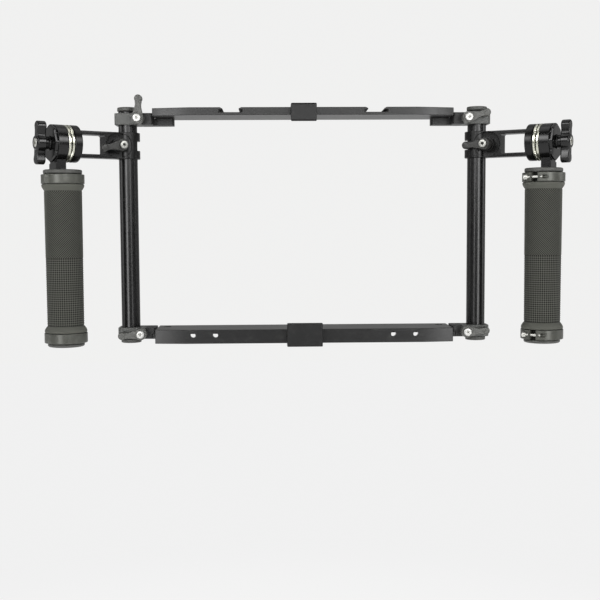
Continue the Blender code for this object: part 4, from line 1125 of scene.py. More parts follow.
@dataclass(frozen=True)
class ClampLever:
    """A clamp lever with a round hub and tip, and its socket screw."""

    hub: float = 9.4 * MM
    hub_proud: float = 0.4 * MM
    hub_from: float = 155.0
    hub_to: float = 385.0
    tip: float = 5.9 * MM
    tip_proud: float = 0.3 * MM
    tip_from: float = -34.0
    tip_to: float = 214.0
    tip_ease: float = 1.0 * MM
    length: float = 18.3 * MM
    waist: float = 4.4 * MM
    waist_share: float = 0.58
    flare_steps: int = 8
    ease: float = 0.5 * MM
    shank: float = 3.0 * MM
    head: float = 6.3 * MM
    head_height: float = 2.2 * MM
    head_ease: float = 0.5 * MM
    socket: float = 2.5 * MM

    def outline(self) -> Outline:
        """The lever seen along its hub, pointing up, its waist flaring out to both ends.

        Returns:
            The outline.
        """
        tip = self.tip / 2
        low = arc((0, 0), self.hub / 2 - self.hub_proud, self.hub_from, self.hub_to, 28)
        high = arc((0, self.length - tip), tip, self.tip_from, self.tip_to, 20)
        waist = (self.waist / 2, self.length * self.waist_share)
        right = self.flare(low[-1], waist) + self.flare(waist, high[0])[1:]
        left = [(-x, z) for x, z in reversed(right)]
        return low[:-1] + right[:-1] + high + left[1:-1]

    def flare(self, start: Point, end: Point) -> Outline:
        """Points on a curve that leaves and reaches two points in the lever's own direction.

        Args:
            start: The lower point.
            end: The upper point.

        Returns:
            The points, both ends among them.
        """
        points = []
        for step in range(self.flare_steps + 1):
            share = step / self.flare_steps
            smooth = share * share * (3 - 2 * share)
            x = start[0] + (end[0] - start[0]) * smooth
            points.append((x, start[1] + (end[1] - start[1]) * share))
        return points

    def build(
            self, station: Station, node: str, seat: float, depths: Point, screw_end: float,
            finishes: tuple[Metal, Metal]) -> None:
        """Makes the lever and its screw.

        Args:
            station: The hub's axis at rest, with the lever pointing up.
            node: The lever's solid, and the body that both ride on.
            seat: How far in front of the station the hub sits.
            depths: How deep the hub and the lever's arm are.
            screw_end: How far behind the station the screw reaches.
            finishes: The lever's finish and its screw's.
        """
        hub_depth, arm_depth = depths
        lever_finish, screw_finish = finishes
        back = -seat - GAP
        front = back - hub_depth
        arm_front = front + self.hub_proud
        arm_back = arm_front + arm_depth
        tip_front = arm_front - self.tip_proud
        tip_middle = (0, 0, self.length - self.tip / 2)
        blank = Blank(prism(self.outline(), Axis.Y, arm_front, arm_back)).soften(self.ease)
        ends = (tip_front, arm_back - GAP)
        blank.add(
            cylinder(self.hub, Axis.Y, front, back, ease=self.ease),
            cylinder(self.tip + GAP, Axis.Y, *ends, PLAIN, tip_middle, self.tip_ease))
        blank.cut(hole(SCREW_HOLE, Axis.Y, front, back, SMALL))
        station.place(node, node, blank, lever_finish)
        head_back = front - GAP
        face = head_back - self.head_height
        profile = screw_profile(screw_end, head_back, face, self.shank, self.head, self.head_ease)
        socket = prism(polygon(6, self.socket), Axis.Y, face - THROUGH, face + SOCKET_DEPTH)
        screw = Blank(turned(profile, Axis.Y, PLAIN)).cut(socket)
        station.place(node + "_screw", node, screw, screw_finish)


@dataclass(frozen=True)
class CornerClamp:
    """A split clamp between a plate and a rod, with its bolt and lever."""

    level: Level
    bottom: float
    tongue_top: float
    tongue_front: float
    lever_angles: dict[Side, float]
    height: float = 9.3 * MM
    half: float = 9.6 * MM
    corner: float = 3.0 * MM
    end: float = 21.0 * MM
    tongue_end: float = 37.0 * MM
    tongue_corner: float = 1.5 * MM
    tongue_back: float = 12.0 * MM
    slit: float = 1.2 * MM
    bore: float = 15.6 * MM
    screw: float = 9.9 * MM
    bolt: float = 29.3 * MM
    bolt_head: float = 1.3 * MM
    lever_depths: Point = (8.4 * MM, 6.4 * MM)
    ease: float = 0.45 * MM

    def outline(self) -> Outline:
        """The clamp seen from above, counterclockwise from its front inner corner.

        Returns:
            The outline.
        """
        points = []
        for x, y, radius, start in (
                (-self.end, -self.half, self.tongue_corner, 180),
                (self.half, -self.half, self.corner, 270),
                (self.half, self.half, self.corner, 0),
                (-self.end, self.half, self.tongue_corner, 90)):
            middle = (x - math.copysign(radius, x), y - math.copysign(radius, y))
            points += arc(middle, radius, start, start + 90, 6)
        return points

    def build(self, station: Station) -> None:
        """Makes the clamp, its bolt and its lever.

        Args:
            station: The rod's axis.
        """
        name = f"{self.level.value}_{station.side.word}"
        body = self.level.body
        top = self.bottom + self.height
        blank = Blank(prism(self.outline(), Axis.Z, self.bottom, top)).soften(self.ease)
        inner = -self.end + 2 * self.tongue_corner
        tongue = rectangle(
            -self.tongue_end, inner, self.tongue_front, self.tongue_back, self.tongue_corner)
        blank.add(prism(tongue, Axis.Z, self.bottom + GAP, self.tongue_top))
        blank.cut(hole(self.bore, Axis.Z, self.bottom, top, FINE))
        slit = (-self.end - THROUGH, -self.bore / 2 + GAP, -self.slit / 2, self.slit / 2)
        blank.cut(box(*slit, self.bottom - THROUGH, top + THROUGH))
        middle = (-self.screw, 0, self.bottom + self.height / 2)
        blank.cut(hole(SCREW_HOLE, Axis.Y, -self.half, self.tongue_back, SMALL, middle))
        bolt = (-self.bolt, LAYOUT.bolt_y, 0)
        blank.cut(hole(SCREW_HOLE, Axis.Z, self.bottom, top, SMALL, bolt))
        station.place("corner_clamp_" + name, body, blank, CLAMP_SATIN)
        face = (LAYOUT.top_z if self.level is Level.TOP else LAYOUT.bay_floor) - GAP
        SunkScrew().build(
            station, "corner_bolt_" + name, body, self.bottom + GAP, face, self.bolt_head, bolt)
        lever = station.moved(middle, about_y=self.lever_angles[station.side])
        ClampLever().build(
            lever, "corner_lever_" + name, self.half, self.lever_depths, self.half - GAP,
            (LEVER_SATIN, SCREW_BRIGHT))


@dataclass(frozen=True)
class SwingArm:
    """A swing arm: a split ring on the rod, a web with a window, and the joint's disc."""

    height: float = 21.2 * MM
    thickness: float = 11.0 * MM
    ring: float = 9.7 * MM
    ring_steps: int = 60
    bore: float = 15.6 * MM
    ear_gap: float = 7.8 * MM
    ear_floor: float = 3.75 * MM
    slit: float = 1.2 * MM
    slit_short: float = 2.2 * MM
    relief: float = 20.2 * MM
    relief_floor: float = 4.7 * MM
    relief_wall: float = 1.1 * MM
    relief_inset: float = 0.4 * MM
    seat: float = 12.0 * MM
    seat_front: float = 7.4 * MM
    seat_ease: float = 0.3 * MM
    screw: float = 11.2 * MM
    lever_depths: Point = (7.4 * MM, 4.0 * MM)
    window_start: float = 22.4 * MM
    window_end: float = 43.3 * MM
    window_height: float = 15.2 * MM
    window_corner: float = 1.5 * MM
    disc_start: float = 44.5 * MM
    disc_end: float = 50.8 * MM
    disc_overlap: float = 1.0 * MM
    disc: float = 29.2 * MM
    disc_ease: float = 0.9 * MM
    pivot_depth: float = 4.5 * MM
    ease: float = 0.4 * MM

    def build(self, station: Station, lever_angle: float) -> None:
        """Makes the arm and its clamp lever.

        Args:
            station: The rod's axis at the arm's middle, turned as the arm is.
            lever_angle: Where the lever points, from straight up towards the outside, in degrees.
        """
        name = "arm_" + station.side.word
        top = self.height / 2
        half = self.thickness / 2
        join = math.degrees(math.asin(half / self.ring))
        outline = arc((0, 0), self.ring, join, 360 - join, self.ring_steps)
        web_end = self.disc_start + self.disc_overlap
        outline += [(web_end, -half), (web_end, half)]
        screw = (self.screw, 0, 0)
        reach = self.ring + THROUGH
        sill = -self.window_height / 2
        window = rectangle(self.window_start, self.window_end, sill, -sill, self.window_corner)
        blank = Blank(prism(outline, Axis.Z, -top, top), Solver.MANIFOLD)
        blank.cut(
            cylinder(self.relief, Axis.Y, -reach, -self.relief_floor, FINE, screw),
            prism(window, Axis.Y, -self.thickness, self.thickness))
        blank.soften(self.ease, 2)
        disc = (self.disc_start, self.disc_end)
        blank.add(cylinder(self.disc, Axis.X, *disc, FINE, ease=self.disc_ease))
        pivot = self.disc_end - self.pivot_depth
        blank.cut(cylinder(PIVOT_HOLE, Axis.X, pivot, self.disc_end + THROUGH))
        wall = self.bore + 2 * self.relief_wall
        inset = self.relief_inset
        blank.add(cylinder(wall, Axis.Z, -top + inset, top - inset, FINE))
        blank.add(cylinder(self.seat, Axis.Y, -self.seat_front, -GAP, FINE, screw, self.seat_ease))
        blank.cut(hole(self.bore, Axis.Z, -top, top, FINE))
        ears = box(-reach, -self.ear_floor, -reach, reach, -self.ear_gap / 2, self.ear_gap / 2)
        start, end = self.bore / 2 - GAP, self.window_start - self.slit_short
        slit = box(start, end, -self.slit / 2, self.slit / 2, -top - THROUGH, top + THROUGH)
        blank.cut(ears, slit)
        blank.cut(cylinder(SCREW_HOLE, Axis.Y, -reach, half + THROUGH, SMALL, screw))
        station.place(name, name, blank, ARM_BLACK)
        ClampLever().build(
            station.moved(screw, about_y=lever_angle), "arm_lever_" + station.side.word,
            self.seat_front, self.lever_depths, half - GAP, (ARM_LEVER, ARM_SCREW))


@dataclass(frozen=True)
class ToothedJoint:
    """The two toothed rings of a swing arm's joint, the handle's head and its pressure washer."""

    start: float = 51.1 * MM
    thickness: float = 2.2 * MM
    diameter: float = 29.2 * MM
    bore: float = 12.0 * MM
    teeth: int = 60
    tooth: float = 0.55 * MM
    bevel: float = 0.35 * MM
    sharp: float = 20.0
    head_start: float = 56.1 * MM
    head_end: float = 64.2 * MM
    head_ease: float = 0.45 * MM
    neck: float = 8.2 * MM
    neck_width: float = 14.5 * MM
    neck_bottom: float = -20.1 * MM
    neck_step: float = -15.7 * MM
    neck_top: float = -6.0 * MM
    neck_behind: float = 0.05 * MM
    neck_inside: float = 0.6 * MM
    washer_start: float = 64.4 * MM
    washer_end: float = 66.6 * MM
    washer_sides: int = 8
    washer_flats: float = 27.8 * MM
    washer_back: float = 0.25 * MM
    washer_edge: float = 0.9 * MM
    washer_corner: float = 3.0 * MM
    notches: int = 6
    notch: float = 2.4 * MM

    def ring(self, start: float, facing: int, turn: float) -> Mesh:
        """A ring with radial teeth on one face.

        Args:
            start: Where its inner face lies along the arm.
            facing: 1 for teeth that face outward, -1 for teeth that face the rod.
            turn: How far its teeth are turned, in radians.

        Returns:
            The ring's mesh.
        """
        flat, crest = start, start + self.thickness
        if facing < 0:
            flat, crest = crest, flat
        outer = self.diameter / 2
        rim = outer - self.bevel
        inner = self.bore / 2
        bevel = facing * self.bevel
        mesh = bmesh.new()
        loops = []
        for index in range(2 * self.teeth):
            angle = turn + math.pi * index / self.teeth
            top = crest - (0.0 if index % 2 == 0 else facing * self.tooth)
            corners = [
                (inner, flat), (rim, flat), (outer, flat + bevel), (outer, top - bevel), (rim, top),
                (inner, top)]
            loops.append([
                mesh.verts.new((x, radius * math.cos(angle), radius * math.sin(angle)))
                for radius, x in corners])
        return faced(loops, mesh, closed=True)

    def washer(self) -> Mesh:
        """The pressure washer's plate, its outer edge bevelled.

        Returns:
            The washer's mesh.
        """
        mesh = bmesh.new()
        loops = []
        for x, narrower in (
                (self.washer_start, self.washer_back), (self.washer_start + self.washer_back, 0),
                (self.washer_end - self.washer_edge, 0), (self.washer_end, self.washer_edge)):
            flats = self.washer_flats - 2 * narrower
            points = polygon(self.washer_sides, flats, self.washer_corner)
            loops.append([mesh.verts.new((x, y, z)) for y, z in points])
        mesh.faces.new(loops[0])
        mesh.faces.new(loops[-1])
        return faced(loops[::-1], mesh, closed=False)

    def neck_outline(self) -> Outline:
        """The neck under the head, seen from the front.

        Returns:
            The outline.
        """
        front = self.head_start + self.neck
        inside = self.head_end - self.neck_inside
        over = self.head_start + self.neck_behind
        return [
            (front, self.neck_bottom), (front, self.neck_step), (inside, self.neck_step),
            (inside, self.neck_top), (over, self.neck_top), (over, self.neck_bottom)]

    def build(self, station: Station) -> None:
        """Makes the joint's pieces.

        Args:
            station: The arm's axis.
        """
        word = station.side.word
        handle = "handle_" + word
        outer = self.start + self.thickness + GAP
        rings = (
            ("arm_", "arm_" + word, self.ring(self.start, 1, 0.0)),
            ("handle_", handle, self.ring(outer, -1, math.pi / self.teeth / 2)))
        for owner, body, ring in rings:
            station.place(owner + "rosette_" + word, body, ring, ROSETTE_BRIGHT, self.sharp)
        ends = (self.head_start, self.head_end)
        blank = Blank(cylinder(self.diameter, Axis.X, *ends, FINE, ease=self.head_ease))
        blank.add(prism(self.neck_outline(), Axis.Y, -self.neck_width / 2, self.neck_width / 2))
        blank.cut(hole(PIVOT_HOLE, Axis.X, *ends))
        station.place("handle_head_" + word, handle, blank, JOINT_BLACK)
        ends = (self.washer_start, self.washer_end)
        radius = self.diameter / 2
        cutters = [hole(PIVOT_HOLE, Axis.X, *ends)]
        for index in range(self.notches):
            angle = 2 * math.pi * (index + 0.5) / self.notches
            middle = (0, radius * math.cos(angle), radius * math.sin(angle))
            cutters.append(hole(self.notch, Axis.X, *ends, SMALL, middle))
        washer = Blank(self.washer()).cut(*cutters)
        station.place("pressure_washer_" + word, handle, washer, KNOB_BLACK, self.sharp)


@dataclass(frozen=True)
class WingKnob:
    """The wing knob and the long bright screw that draws the joint together."""

    start: float = 66.8 * MM
    collar: float = 11.4 * MM
    collar_end: float = 67.6 * MM
    neck: float = 10.2 * MM
    wing_start: float = 70.3 * MM
    wing_end: float = 77.6 * MM
    end: float = 78.2 * MM
    length: float = 33.6 * MM
    tip: float = 8.4 * MM
    waist: float = 6.4 * MM
    hub: float = 13.0 * MM
    hub_inset: float = 0.8 * MM
    hub_bevel: float = 1.6 * MM
    ease: float = 1.1 * MM
    hub_ease: float = 0.3 * MM
    screw_tip: float = 46.6 * MM
    shank: float = 6.0 * MM
    head: float = 7.0 * MM
    head_height: float = 2.2 * MM
    head_room: float = 0.35 * MM
    head_ease: float = 0.5 * MM
    socket: float = 3.0 * MM

    def outline(self, turn: float) -> Outline:
        """The wings seen along their axis.

        Args:
            turn: How far they are turned from upright, in degrees.

        Returns:
            The outline.
        """
        hub = self.hub / 2
        tip = self.tip / 2
        waist = self.waist / 2
        middle = self.length / 2 - tip
        join = math.degrees(math.acos(waist / hub))
        half = arc((0, middle), tip, 0, 180, 24)
        half += [(-waist, (middle + hub) / 2)] + arc((0, 0), hub, 180 - join, 180 + join, 10)
        half += [(-waist, -(middle + hub) / 2)]
        points = half + [(-y, -z) for y, z in half]
        spin = Matrix.Rotation(math.radians(turn), 2)
        return [tuple(spin @ Vector(point)) for point in points]

    def build(self, station: Station, turn: float) -> None:
        """Makes the knob and its screw.

        Args:
            station: The arm's axis.
            turn: How far the wings are turned from upright, in degrees.
        """
        word = station.side.word
        knob = "knob_" + word
        collar, neck = self.collar / 2, self.neck / 2
        hub = self.hub / 2 - self.hub_inset
        hub_start = self.wing_start + self.hub_inset
        profile = [
            (0, self.start), (collar, self.start), (collar, self.collar_end),
            (neck, self.collar_end), (neck, hub_start), (hub, hub_start), (hub, self.wing_end),
            (self.hub / 2 - self.hub_bevel, self.end), (0, self.end)]
        seat = self.end - self.head_height
        bore, pocket = PIVOT_HOLE / 2, self.head / 2 + self.head_room
        below, above = self.start - THROUGH, self.end + THROUGH
        opening = [
            (0, below), (bore, below), (bore, seat - GAP), (pocket, seat - GAP), (pocket, above),
            (0, above)]
        wings = prism(self.outline(turn), Axis.X, self.wing_start, self.wing_end)
        blank = Blank(wings).soften(self.ease, 4)
        blank.add(turned(eased(profile, self.hub_ease, closed=False), Axis.X, PLAIN))
        blank.cut(turned(opening, Axis.X, PLAIN))
        station.place("wing_knob_" + word, knob, blank, KNOB_BLACK)
        profile = screw_profile(
            self.screw_tip, seat, self.end, self.shank, self.head, self.head_ease)
        socket = prism(polygon(6, self.socket), Axis.X, self.end - SOCKET_DEPTH, above)
        screw = Blank(turned(profile, Axis.X, PLAIN)).cut(socket)
        station.place("knob_screw_" + word, knob, screw, PIVOT_BRIGHT)


@dataclass(frozen=True)
class Grip:
    """A handle: the bar with its top cap, the knurled sleeve, two lock rings and an end cap."""

    top: float = -20.4 * MM
    cap: float = 30.0 * MM
    under_cap: float = -23.8 * MM
    core: float = 18.0 * MM
    core_bore: float = 12.0 * MM
    core_ease: float = 1.0 * MM
    bore_depth: float = 14.0 * MM
    ring: float = 33.5 * MM
    ring_wall: float = 4.0 * MM
    ring_ease: float = 0.45 * MM
    top_ring: Point = (-31.3 * MM, -24.1 * MM)
    bottom_ring: Point = (-156.1 * MM, -148.3 * MM)
    top_flange: float = -31.6 * MM
    bottom_flange: float = -148.0 * MM
    flange: float = 32.9 * MM
    flange_ease: float = 0.5 * MM
    slope: float = 5.2 * MM
    slope_points: tuple[Point, Point] = ((0.0, 0.3), (0.5 * MM, 0.55))
    slope_end_share: float = 0.85
    top_slope_drop: float = 1.5 * MM
    bottom_slope_drop: float = 1.6 * MM
    grip_top: float = 28.7 * MM
    grip_bottom: float = 28.1 * MM
    knurl_columns: int = 104
    knurl_rows: int = 122
    knurl_depth: float = 0.56 * MM
    sleeve_sharp: float = 80.0
    end_cap: float = 28.6 * MM
    end_cap_z: float = -159.2 * MM
    end_cap_thickness: float = 2.8 * MM
    end_cap_ease: float = 1.2 * MM
    plug: float = 10.0 * MM
    slit: float = 5.2 * MM
    screw_turn: float = 40.0
    screw_inset: float = 2.1 * MM
    screw_lug: float = 3.4 * MM
    screw_length: float = 12.0 * MM
    screw_shank: float = 2.4 * MM
    screw_head: float = 4.2 * MM
    screw_head_length: float = 3.8 * MM
    screw_room: float = 0.7 * MM
    screw_ease: float = 0.3 * MM

    def shoulder(self, face: float, inward: int, drop: float) -> Outline:
        """One of the sleeve's flanges and the slope from it down to the grip.

        Args:
            face: The height of the flange's end face.
            inward: 1 if the grip lies above that face, -1 if it lies below.
            drop: How far inside the flange's rim the slope ends.

        Returns:
            Points as (radius, height), from the seat of the lock ring to the grip.
        """
        rim = self.flange / 2
        points = [
            (self.ring / 2 - self.ring_wall - GAP, face), (rim - self.flange_ease, face),
            (rim, face + inward * self.flange_ease)]
        for inside, share in (*self.slope_points, (drop, self.slope_end_share)):
            points.append((rim - inside, face + inward * self.slope * share))
        return points

    def knurl(self, row: int) -> Outline:
        """One row of the grip: diamond points on its upper half, square points on its lower.

        Args:
            row: The row, counted from the top.

        Returns:
            Its points as (radius, height), one to a column.
        """
        share = row / self.knurl_rows
        top = self.top_flange - self.slope
        z = top + (self.bottom_flange + self.slope - top) * share
        radius = (self.grip_top + (self.grip_bottom - self.grip_top) * share) / 2
        points = []
        for column in range(self.knurl_columns):
            if row in (0, self.knurl_rows):
                height = 0.0
            elif share < 0.5:
                height = 0.5 - (row + column) % 2
            else:
                height = 0.5 - (row % 2 + column % 2) / 2
            points.append((radius + height * self.knurl_depth, z))
        return points

    def sleeve(self) -> Mesh:
        """The rubber sleeve, in loops from its upper end outside down to its lower end.

        Returns:
            The sleeve's mesh.
        """
        columns = self.knurl_columns
        bore = self.core / 2 + GAP
        seat = self.ring / 2 - self.ring_wall - GAP
        upper, lower = self.top_ring[1] - GAP, self.bottom_ring[0] + GAP
        above = [(bore, upper), (seat, upper)]
        above += self.shoulder(self.top_flange, -1, self.top_slope_drop)
        below = self.shoulder(self.bottom_flange, 1, self.bottom_slope_drop)[::-1]
        below += [(seat, lower), (bore, lower)]
        loops = [[point] * columns for point in above]
        loops += [self.knurl(row) for row in range(self.knurl_rows + 1)]
        loops += [[point] * columns for point in below]
        angles = [2 * math.pi * index / columns for index in range(columns)]
        mesh = bmesh.new()
        grid = [
            [mesh.verts.new((radius * math.cos(angle), radius * math.sin(angle), z))
             for (radius, z), angle in zip(loop, angles)]
            for loop in loops]
        return faced(grid, mesh, closed=True)

    def lock_ring(self, station: Station, level: Level, ends: Point, handle: str) -> None:
        """A lock ring and the screw across its slit.

        Args:
            station: The handle's axis, turned so that the slit looks to -Y.
            level: Which of the two rings it is.
            ends: Its lower and upper faces.
            handle: The body that it rides on.
        """
        name = f"{level.value}_{station.side.word}"
        bottom, top = ends
        outer = self.ring / 2
        inner = outer - self.ring_wall
        half = self.slit / 2
        seat = -half - self.screw_lug
        middle = (0, -outer + self.screw_inset, (bottom + top) / 2)
        shank, head = self.screw_shank, self.screw_head
        profile = eased(rectangle(inner, outer, bottom, top), self.ring_ease)
        blank = Blank(turned(profile, Axis.Z, FINE))
        slit = (-half, half, -outer - THROUGH, -inner + THROUGH)
        blank.cut(box(*slit, bottom - THROUGH, top + THROUGH))
        blank.cut(cylinder(shank + self.screw_room, Axis.X, seat - GAP, outer, SMALL, middle))
        blank.cut(cylinder(head + self.screw_room, Axis.X, -2 * outer, seat, SMALL, middle))
        station.place("lock_ring_" + name, handle, blank, RING_SATIN)
        tip, face = seat + self.screw_length, seat - self.screw_head_length
        profile = screw_profile(tip, seat - GAP, face, shank, head, self.screw_ease)
        screw = turned(profile, Axis.X, SMALL, middle)
        station.place("lock_screw_" + name, handle, screw, PIVOT_BRIGHT)

    def build(self, station: Station, swing: float) -> None:
        """Makes the handle.

        Args:
            station: The handle's own axis, at the height of the joint's axis.
            swing: How far the arm is swung forward, in degrees.
        """
        word = station.side.word
        handle = "handle_" + word
        end_top = self.end_cap_z + self.end_cap_thickness
        bottom = end_top + GAP
        cap, core, bore = self.cap / 2, self.core / 2, self.core_bore / 2
        depth = bottom + self.bore_depth
        profile = [
            (0, self.top), (cap, self.top), (cap, self.under_cap), (core, self.under_cap),
            (core, bottom), (bore, bottom), (bore, depth), (0, depth)]
        mesh = turned(eased(profile, self.core_ease, closed=False), Axis.Z, FINE)
        station.place("handle_core_" + word, handle, mesh, CAP_BLACK)
        station.place("grip_sleeve_" + word, handle, self.sleeve(), GRIP_RUBBER, self.sleeve_sharp)
        plug, rim = bore - GAP, self.end_cap / 2
        profile = [
            (0, end_top + self.plug), (plug, end_top + self.plug), (plug, end_top), (rim, end_top),
            (rim, self.end_cap_z), (0, self.end_cap_z)]
        mesh = turned(eased(profile, self.end_cap_ease, closed=False), Axis.Z, FINE)
        station.place("end_cap_" + word, handle, mesh, CAP_BLACK)
        side = station.side.value
        slit = 180.0 + self.screw_turn if station.side is Side.LEFT else -self.screw_turn
        towards_slit = station.moved(ORIGIN, about_z=side * (swing + side * slit))
        self.lock_ring(towards_slit, Level.TOP, self.top_ring, handle)
        self.lock_ring(towards_slit, Level.BOTTOM, self.bottom_ring, handle)


@dataclass(frozen=True)
class Softbox:
    """A soft studio lamp that looks at a point, in metres and degrees.

    Its energy follows from how bright it is to look into, so that the spread can change alone.
    """

    name: str
    place: Place
    target: Place
    width: float
    height: float
    radiance: float
    spread: float = 179.0

    def build(self) -> None:
        """Makes the lamp."""
        half = math.radians(self.spread) / 2
        kept = 1 - half / math.tan(half)
        lamp = bpy.data.lights.new(self.name, "AREA")
        lamp.shape = "RECTANGLE"
        lamp.size = self.width
        lamp.size_y = self.height
        lamp.energy = self.radiance * math.pi * self.width * self.height * kept
        lamp.spread = math.radians(self.spread)
        item = bpy.data.objects.new(self.name, lamp)
        item.location = self.place
        aim = Vector(self.target) - Vector(self.place)
        item.rotation_euler = aim.to_track_quat("-Z", "Y").to_euler()
        bpy.context.collection.objects.link(item)


@dataclass(frozen=True)
class Studio:
    """The camera, the pale floor and world, and the lamps, in metres and degrees."""

    place: Place = (-0.0233, -0.8358, 0.0999)
    yaw: float = 1.38
    pitch: float = -4.28
    roll: float = -0.31
    focal_pixels: float = 1015.4
    picture: int = 600
    sensor: float = 36.0
    near_clip: float = 0.01
    pale: Colour = (0.876, 0.876, 0.871)
    world_fill: float = 0.18
    gloss_front: float = 0.06
    gloss_back: float = 0.40
    gloss_step: Point = (-0.35, 0.55)
    floor_z: float = -0.42
    floor_reach: float = 3.0
    floor_squares: int = 8
    floor_glow: float = 0.60
    floor_lift: float = 1.25
    floor_fade: Point = (0.20, 0.80)

    def camera(self) -> None:
        """Sets the camera at the picture's own viewing angle."""
        yaw, pitch, roll = (math.radians(angle) for angle in (self.yaw, self.pitch, self.roll))
        ahead = Vector((
            math.sin(yaw) * math.cos(pitch), math.cos(yaw) * math.cos(pitch), math.sin(pitch)))
        right = Vector((math.cos(yaw), -math.sin(yaw), 0))
        up = right.cross(ahead)
        rolled_right = right * math.cos(roll) + up * math.sin(roll)
        rolled_up = -right * math.sin(roll) + up * math.cos(roll)
        lens = bpy.data.cameras.new("camera")
        lens.sensor_width = self.sensor
        lens.lens = self.sensor * self.focal_pixels / self.picture
        lens.clip_start = self.near_clip
        item = bpy.data.objects.new("camera", lens)
        matrix = Matrix((rolled_right, rolled_up, -ahead)).transposed().to_4x4()
        matrix.translation = Vector(self.place)
        item.matrix_world = matrix
        bpy.context.collection.objects.link(item)
        bpy.context.scene.camera = item

    def lamps(self) -> list[Softbox]:
        """The lamps: three kinds that stand on both sides, mirrored, and two in the middle.

        Returns:
            The lamps, each pair's left one first.
        """
        pairs = (
            ("softbox", (0.59, -1.0, 0.10), (0.195, 0.0, 0.10), (0.44, 0.95), (9.8, 9.2), 31.0),
            ("high_softbox", (0.61, -0.64, 0.56), (-0.20, -0.05, 0.13), (0.50, 0.56), (8.0, 8.0),
             44.0),
            ("side_softbox", (0.99, -0.03, 0.28), (0.19, 0.0, 0.12), (0.36, 0.72), (2.6, 2.6),
             54.0),
        )
        lamps = []
        for name, (x, y, z), (aim_x, aim_y, aim_z), size, radiances, spread in pairs:
            for side, radiance in zip(Side, radiances):
                place = (side.value * x, y, z)
                target = (side.value * aim_x, aim_y, aim_z)
                lamps.append(Softbox(f"{side.word}_{name}", place, target, *size, radiance, spread))
        lamps.append(Softbox("front_softbox", (0.0, -1.15, 0.36), (0.0, 0.0, 0.10), 1.3, 0.30, 3.0))
        lamps.append(Softbox("top_softbox", (0.0, 0.05, 0.95), (0.0, 0.0, 0.10), 0.9, 0.4, 0.8))
        return lamps

    def background(self, tree: Tree, strength: Signal | float) -> Signal:
        """A background of the pale colour."""
        return tree.node("ShaderNodeBackground", {}, {0: (*self.pale, 1.0), 1: strength})

    def world(self) -> None:
        """Makes a pale world, dimmer in reflections, most so in front, and as fill light."""
        world = bpy.data.worlds.new("studio")
        tree = Tree(world)
        camera, glossy, transmission = (
            tree.node("ShaderNodeLightPath", {}, {}, f"Is {kind} Ray")
            for kind in ("Camera", "Glossy", "Transmission"))
        back = tree.split(tree.place("Generated"))[1]
        room = back.between(*self.gloss_step, self.gloss_front, self.gloss_back)
        lit = glossy.mix(self.background(tree, self.world_fill), self.background(tree, room))
        seen = (camera | transmission).mix(lit, self.background(tree, 1.0))
        tree.end("ShaderNodeOutputWorld", seen)
        bpy.context.scene.world = world

    def floor(self) -> None:
        """Makes a pale floor that keeps the cage's shadow and fades into the world far out."""
        mesh = bmesh.new()
        squares = self.floor_squares
        bmesh.ops.create_grid(mesh, x_segments=squares, y_segments=squares, size=self.floor_reach)
        data = bpy.data.meshes.new("studio_floor")
        mesh.to_mesh(data)
        mesh.free()
        item = bpy.data.objects.new("studio_floor", data)
        item.location = (0, 0, self.floor_z)
        material = bpy.data.materials.new("studio_floor")
        tree = Tree(material)
        length = {"operation": "LENGTH"}
        distance = tree.node("ShaderNodeVectorMath", length, {0: tree.place()}, "Value")
        fade = distance.between(*self.floor_fade, self.floor_glow, 1.0)
        matte = tree.node("ShaderNodeBsdfDiffuse", {}, {0: (*self.pale, 1.0)})
        levels = {0: fade, 1: self.floor_glow, 2: 1.0, 3: self.floor_lift, 4: self.pale[0]}
        glow = tree.node("ShaderNodeEmission", {}, {0: tree.node("ShaderNodeMapRange", {}, levels)})
        tree.end("ShaderNodeOutputMaterial", fade.mix(matte, glow))
        data.materials.append(material)
        bpy.context.collection.objects.link(item)

    def build(self) -> None:
        """Makes the whole studio."""
        bpy.context.scene.view_settings.view_transform = "Standard"
        self.camera()
        self.world()
        self.floor()
        for lamp in self.lamps():
            lamp.build()


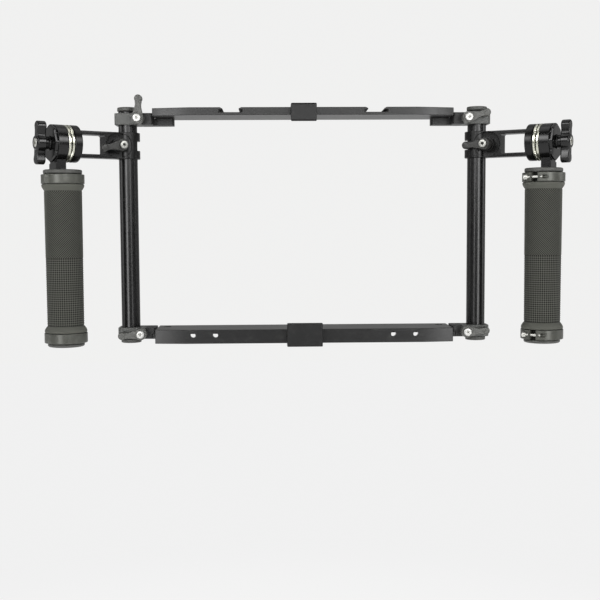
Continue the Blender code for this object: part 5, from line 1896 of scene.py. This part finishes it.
@dataclass(frozen=True)
class Half:
    """Everything on one rod, as it stands at rest. Angles are in degrees."""

    side: Side
    swing: float
    arm_lever: float
    knob: float
    handle_from_rod: float = 56.3 * MM

    def build(self, clamps: tuple[CornerClamp, ...]) -> None:
        """Makes the rod, its clamps, the swing arm, the joint and the handle.

        Args:
            clamps: The two corner clamps on the rod.
        """
        rod_station = Station(self.side, Matrix.Translation((LAYOUT.rod_x, 0, 0)))
        Rod().build(rod_station)
        for clamp in clamps:
            clamp.build(rod_station)
        arm_station = rod_station.moved((0, 0, LAYOUT.arm_z), about_z=-self.swing)
        SwingArm().build(arm_station, self.arm_lever)
        ToothedJoint().build(arm_station)
        WingKnob().build(arm_station, self.knob)
        Grip().build(arm_station.moved((self.handle_from_rod, 0, 0)), self.swing)


def main() -> None:
    """Builds the cage and the studio, and reports each piece."""
    logging.basicConfig(level=logging.INFO, format="%(name)s: %(message)s")
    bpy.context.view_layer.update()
    middle = Station(Side.RIGHT, Matrix())
    Plates().build(middle)
    top_clip = Clip(
        Level.TOP, width=20.4 * MM, lip=5.2 * MM, tongue_end=14.8 * MM, screw_behind_front=7.8 * MM)
    top_clip.build(middle)
    bottom_clip = Clip(
        Level.BOTTOM, width=28.5 * MM, lip=5.6 * MM, tongue_end=9.3 * MM,
        screw_behind_front=4.8 * MM)
    bottom_clip.build(middle)
    clamps = (
        CornerClamp(
            Level.TOP, bottom=180.1 * MM, tongue_top=186.1 * MM, tongue_front=2.5 * MM,
            lever_angles={Side.LEFT: -3.5, Side.RIGHT: 75.5}),
        CornerClamp(
            Level.BOTTOM, bottom=7.1 * MM, tongue_top=11.0 * MM, tongue_front=-12.0 * MM,
            lever_angles={Side.LEFT: 95.5, Side.RIGHT: 87.5}),
    )
    Half(Side.LEFT, swing=33.2, arm_lever=100.5, knob=8.5).build(clamps)
    Half(Side.RIGHT, swing=31.8, arm_lever=-93.0, knob=-2.0).build(clamps)
    Studio().build()


if __name__ == "__main__":
    main()
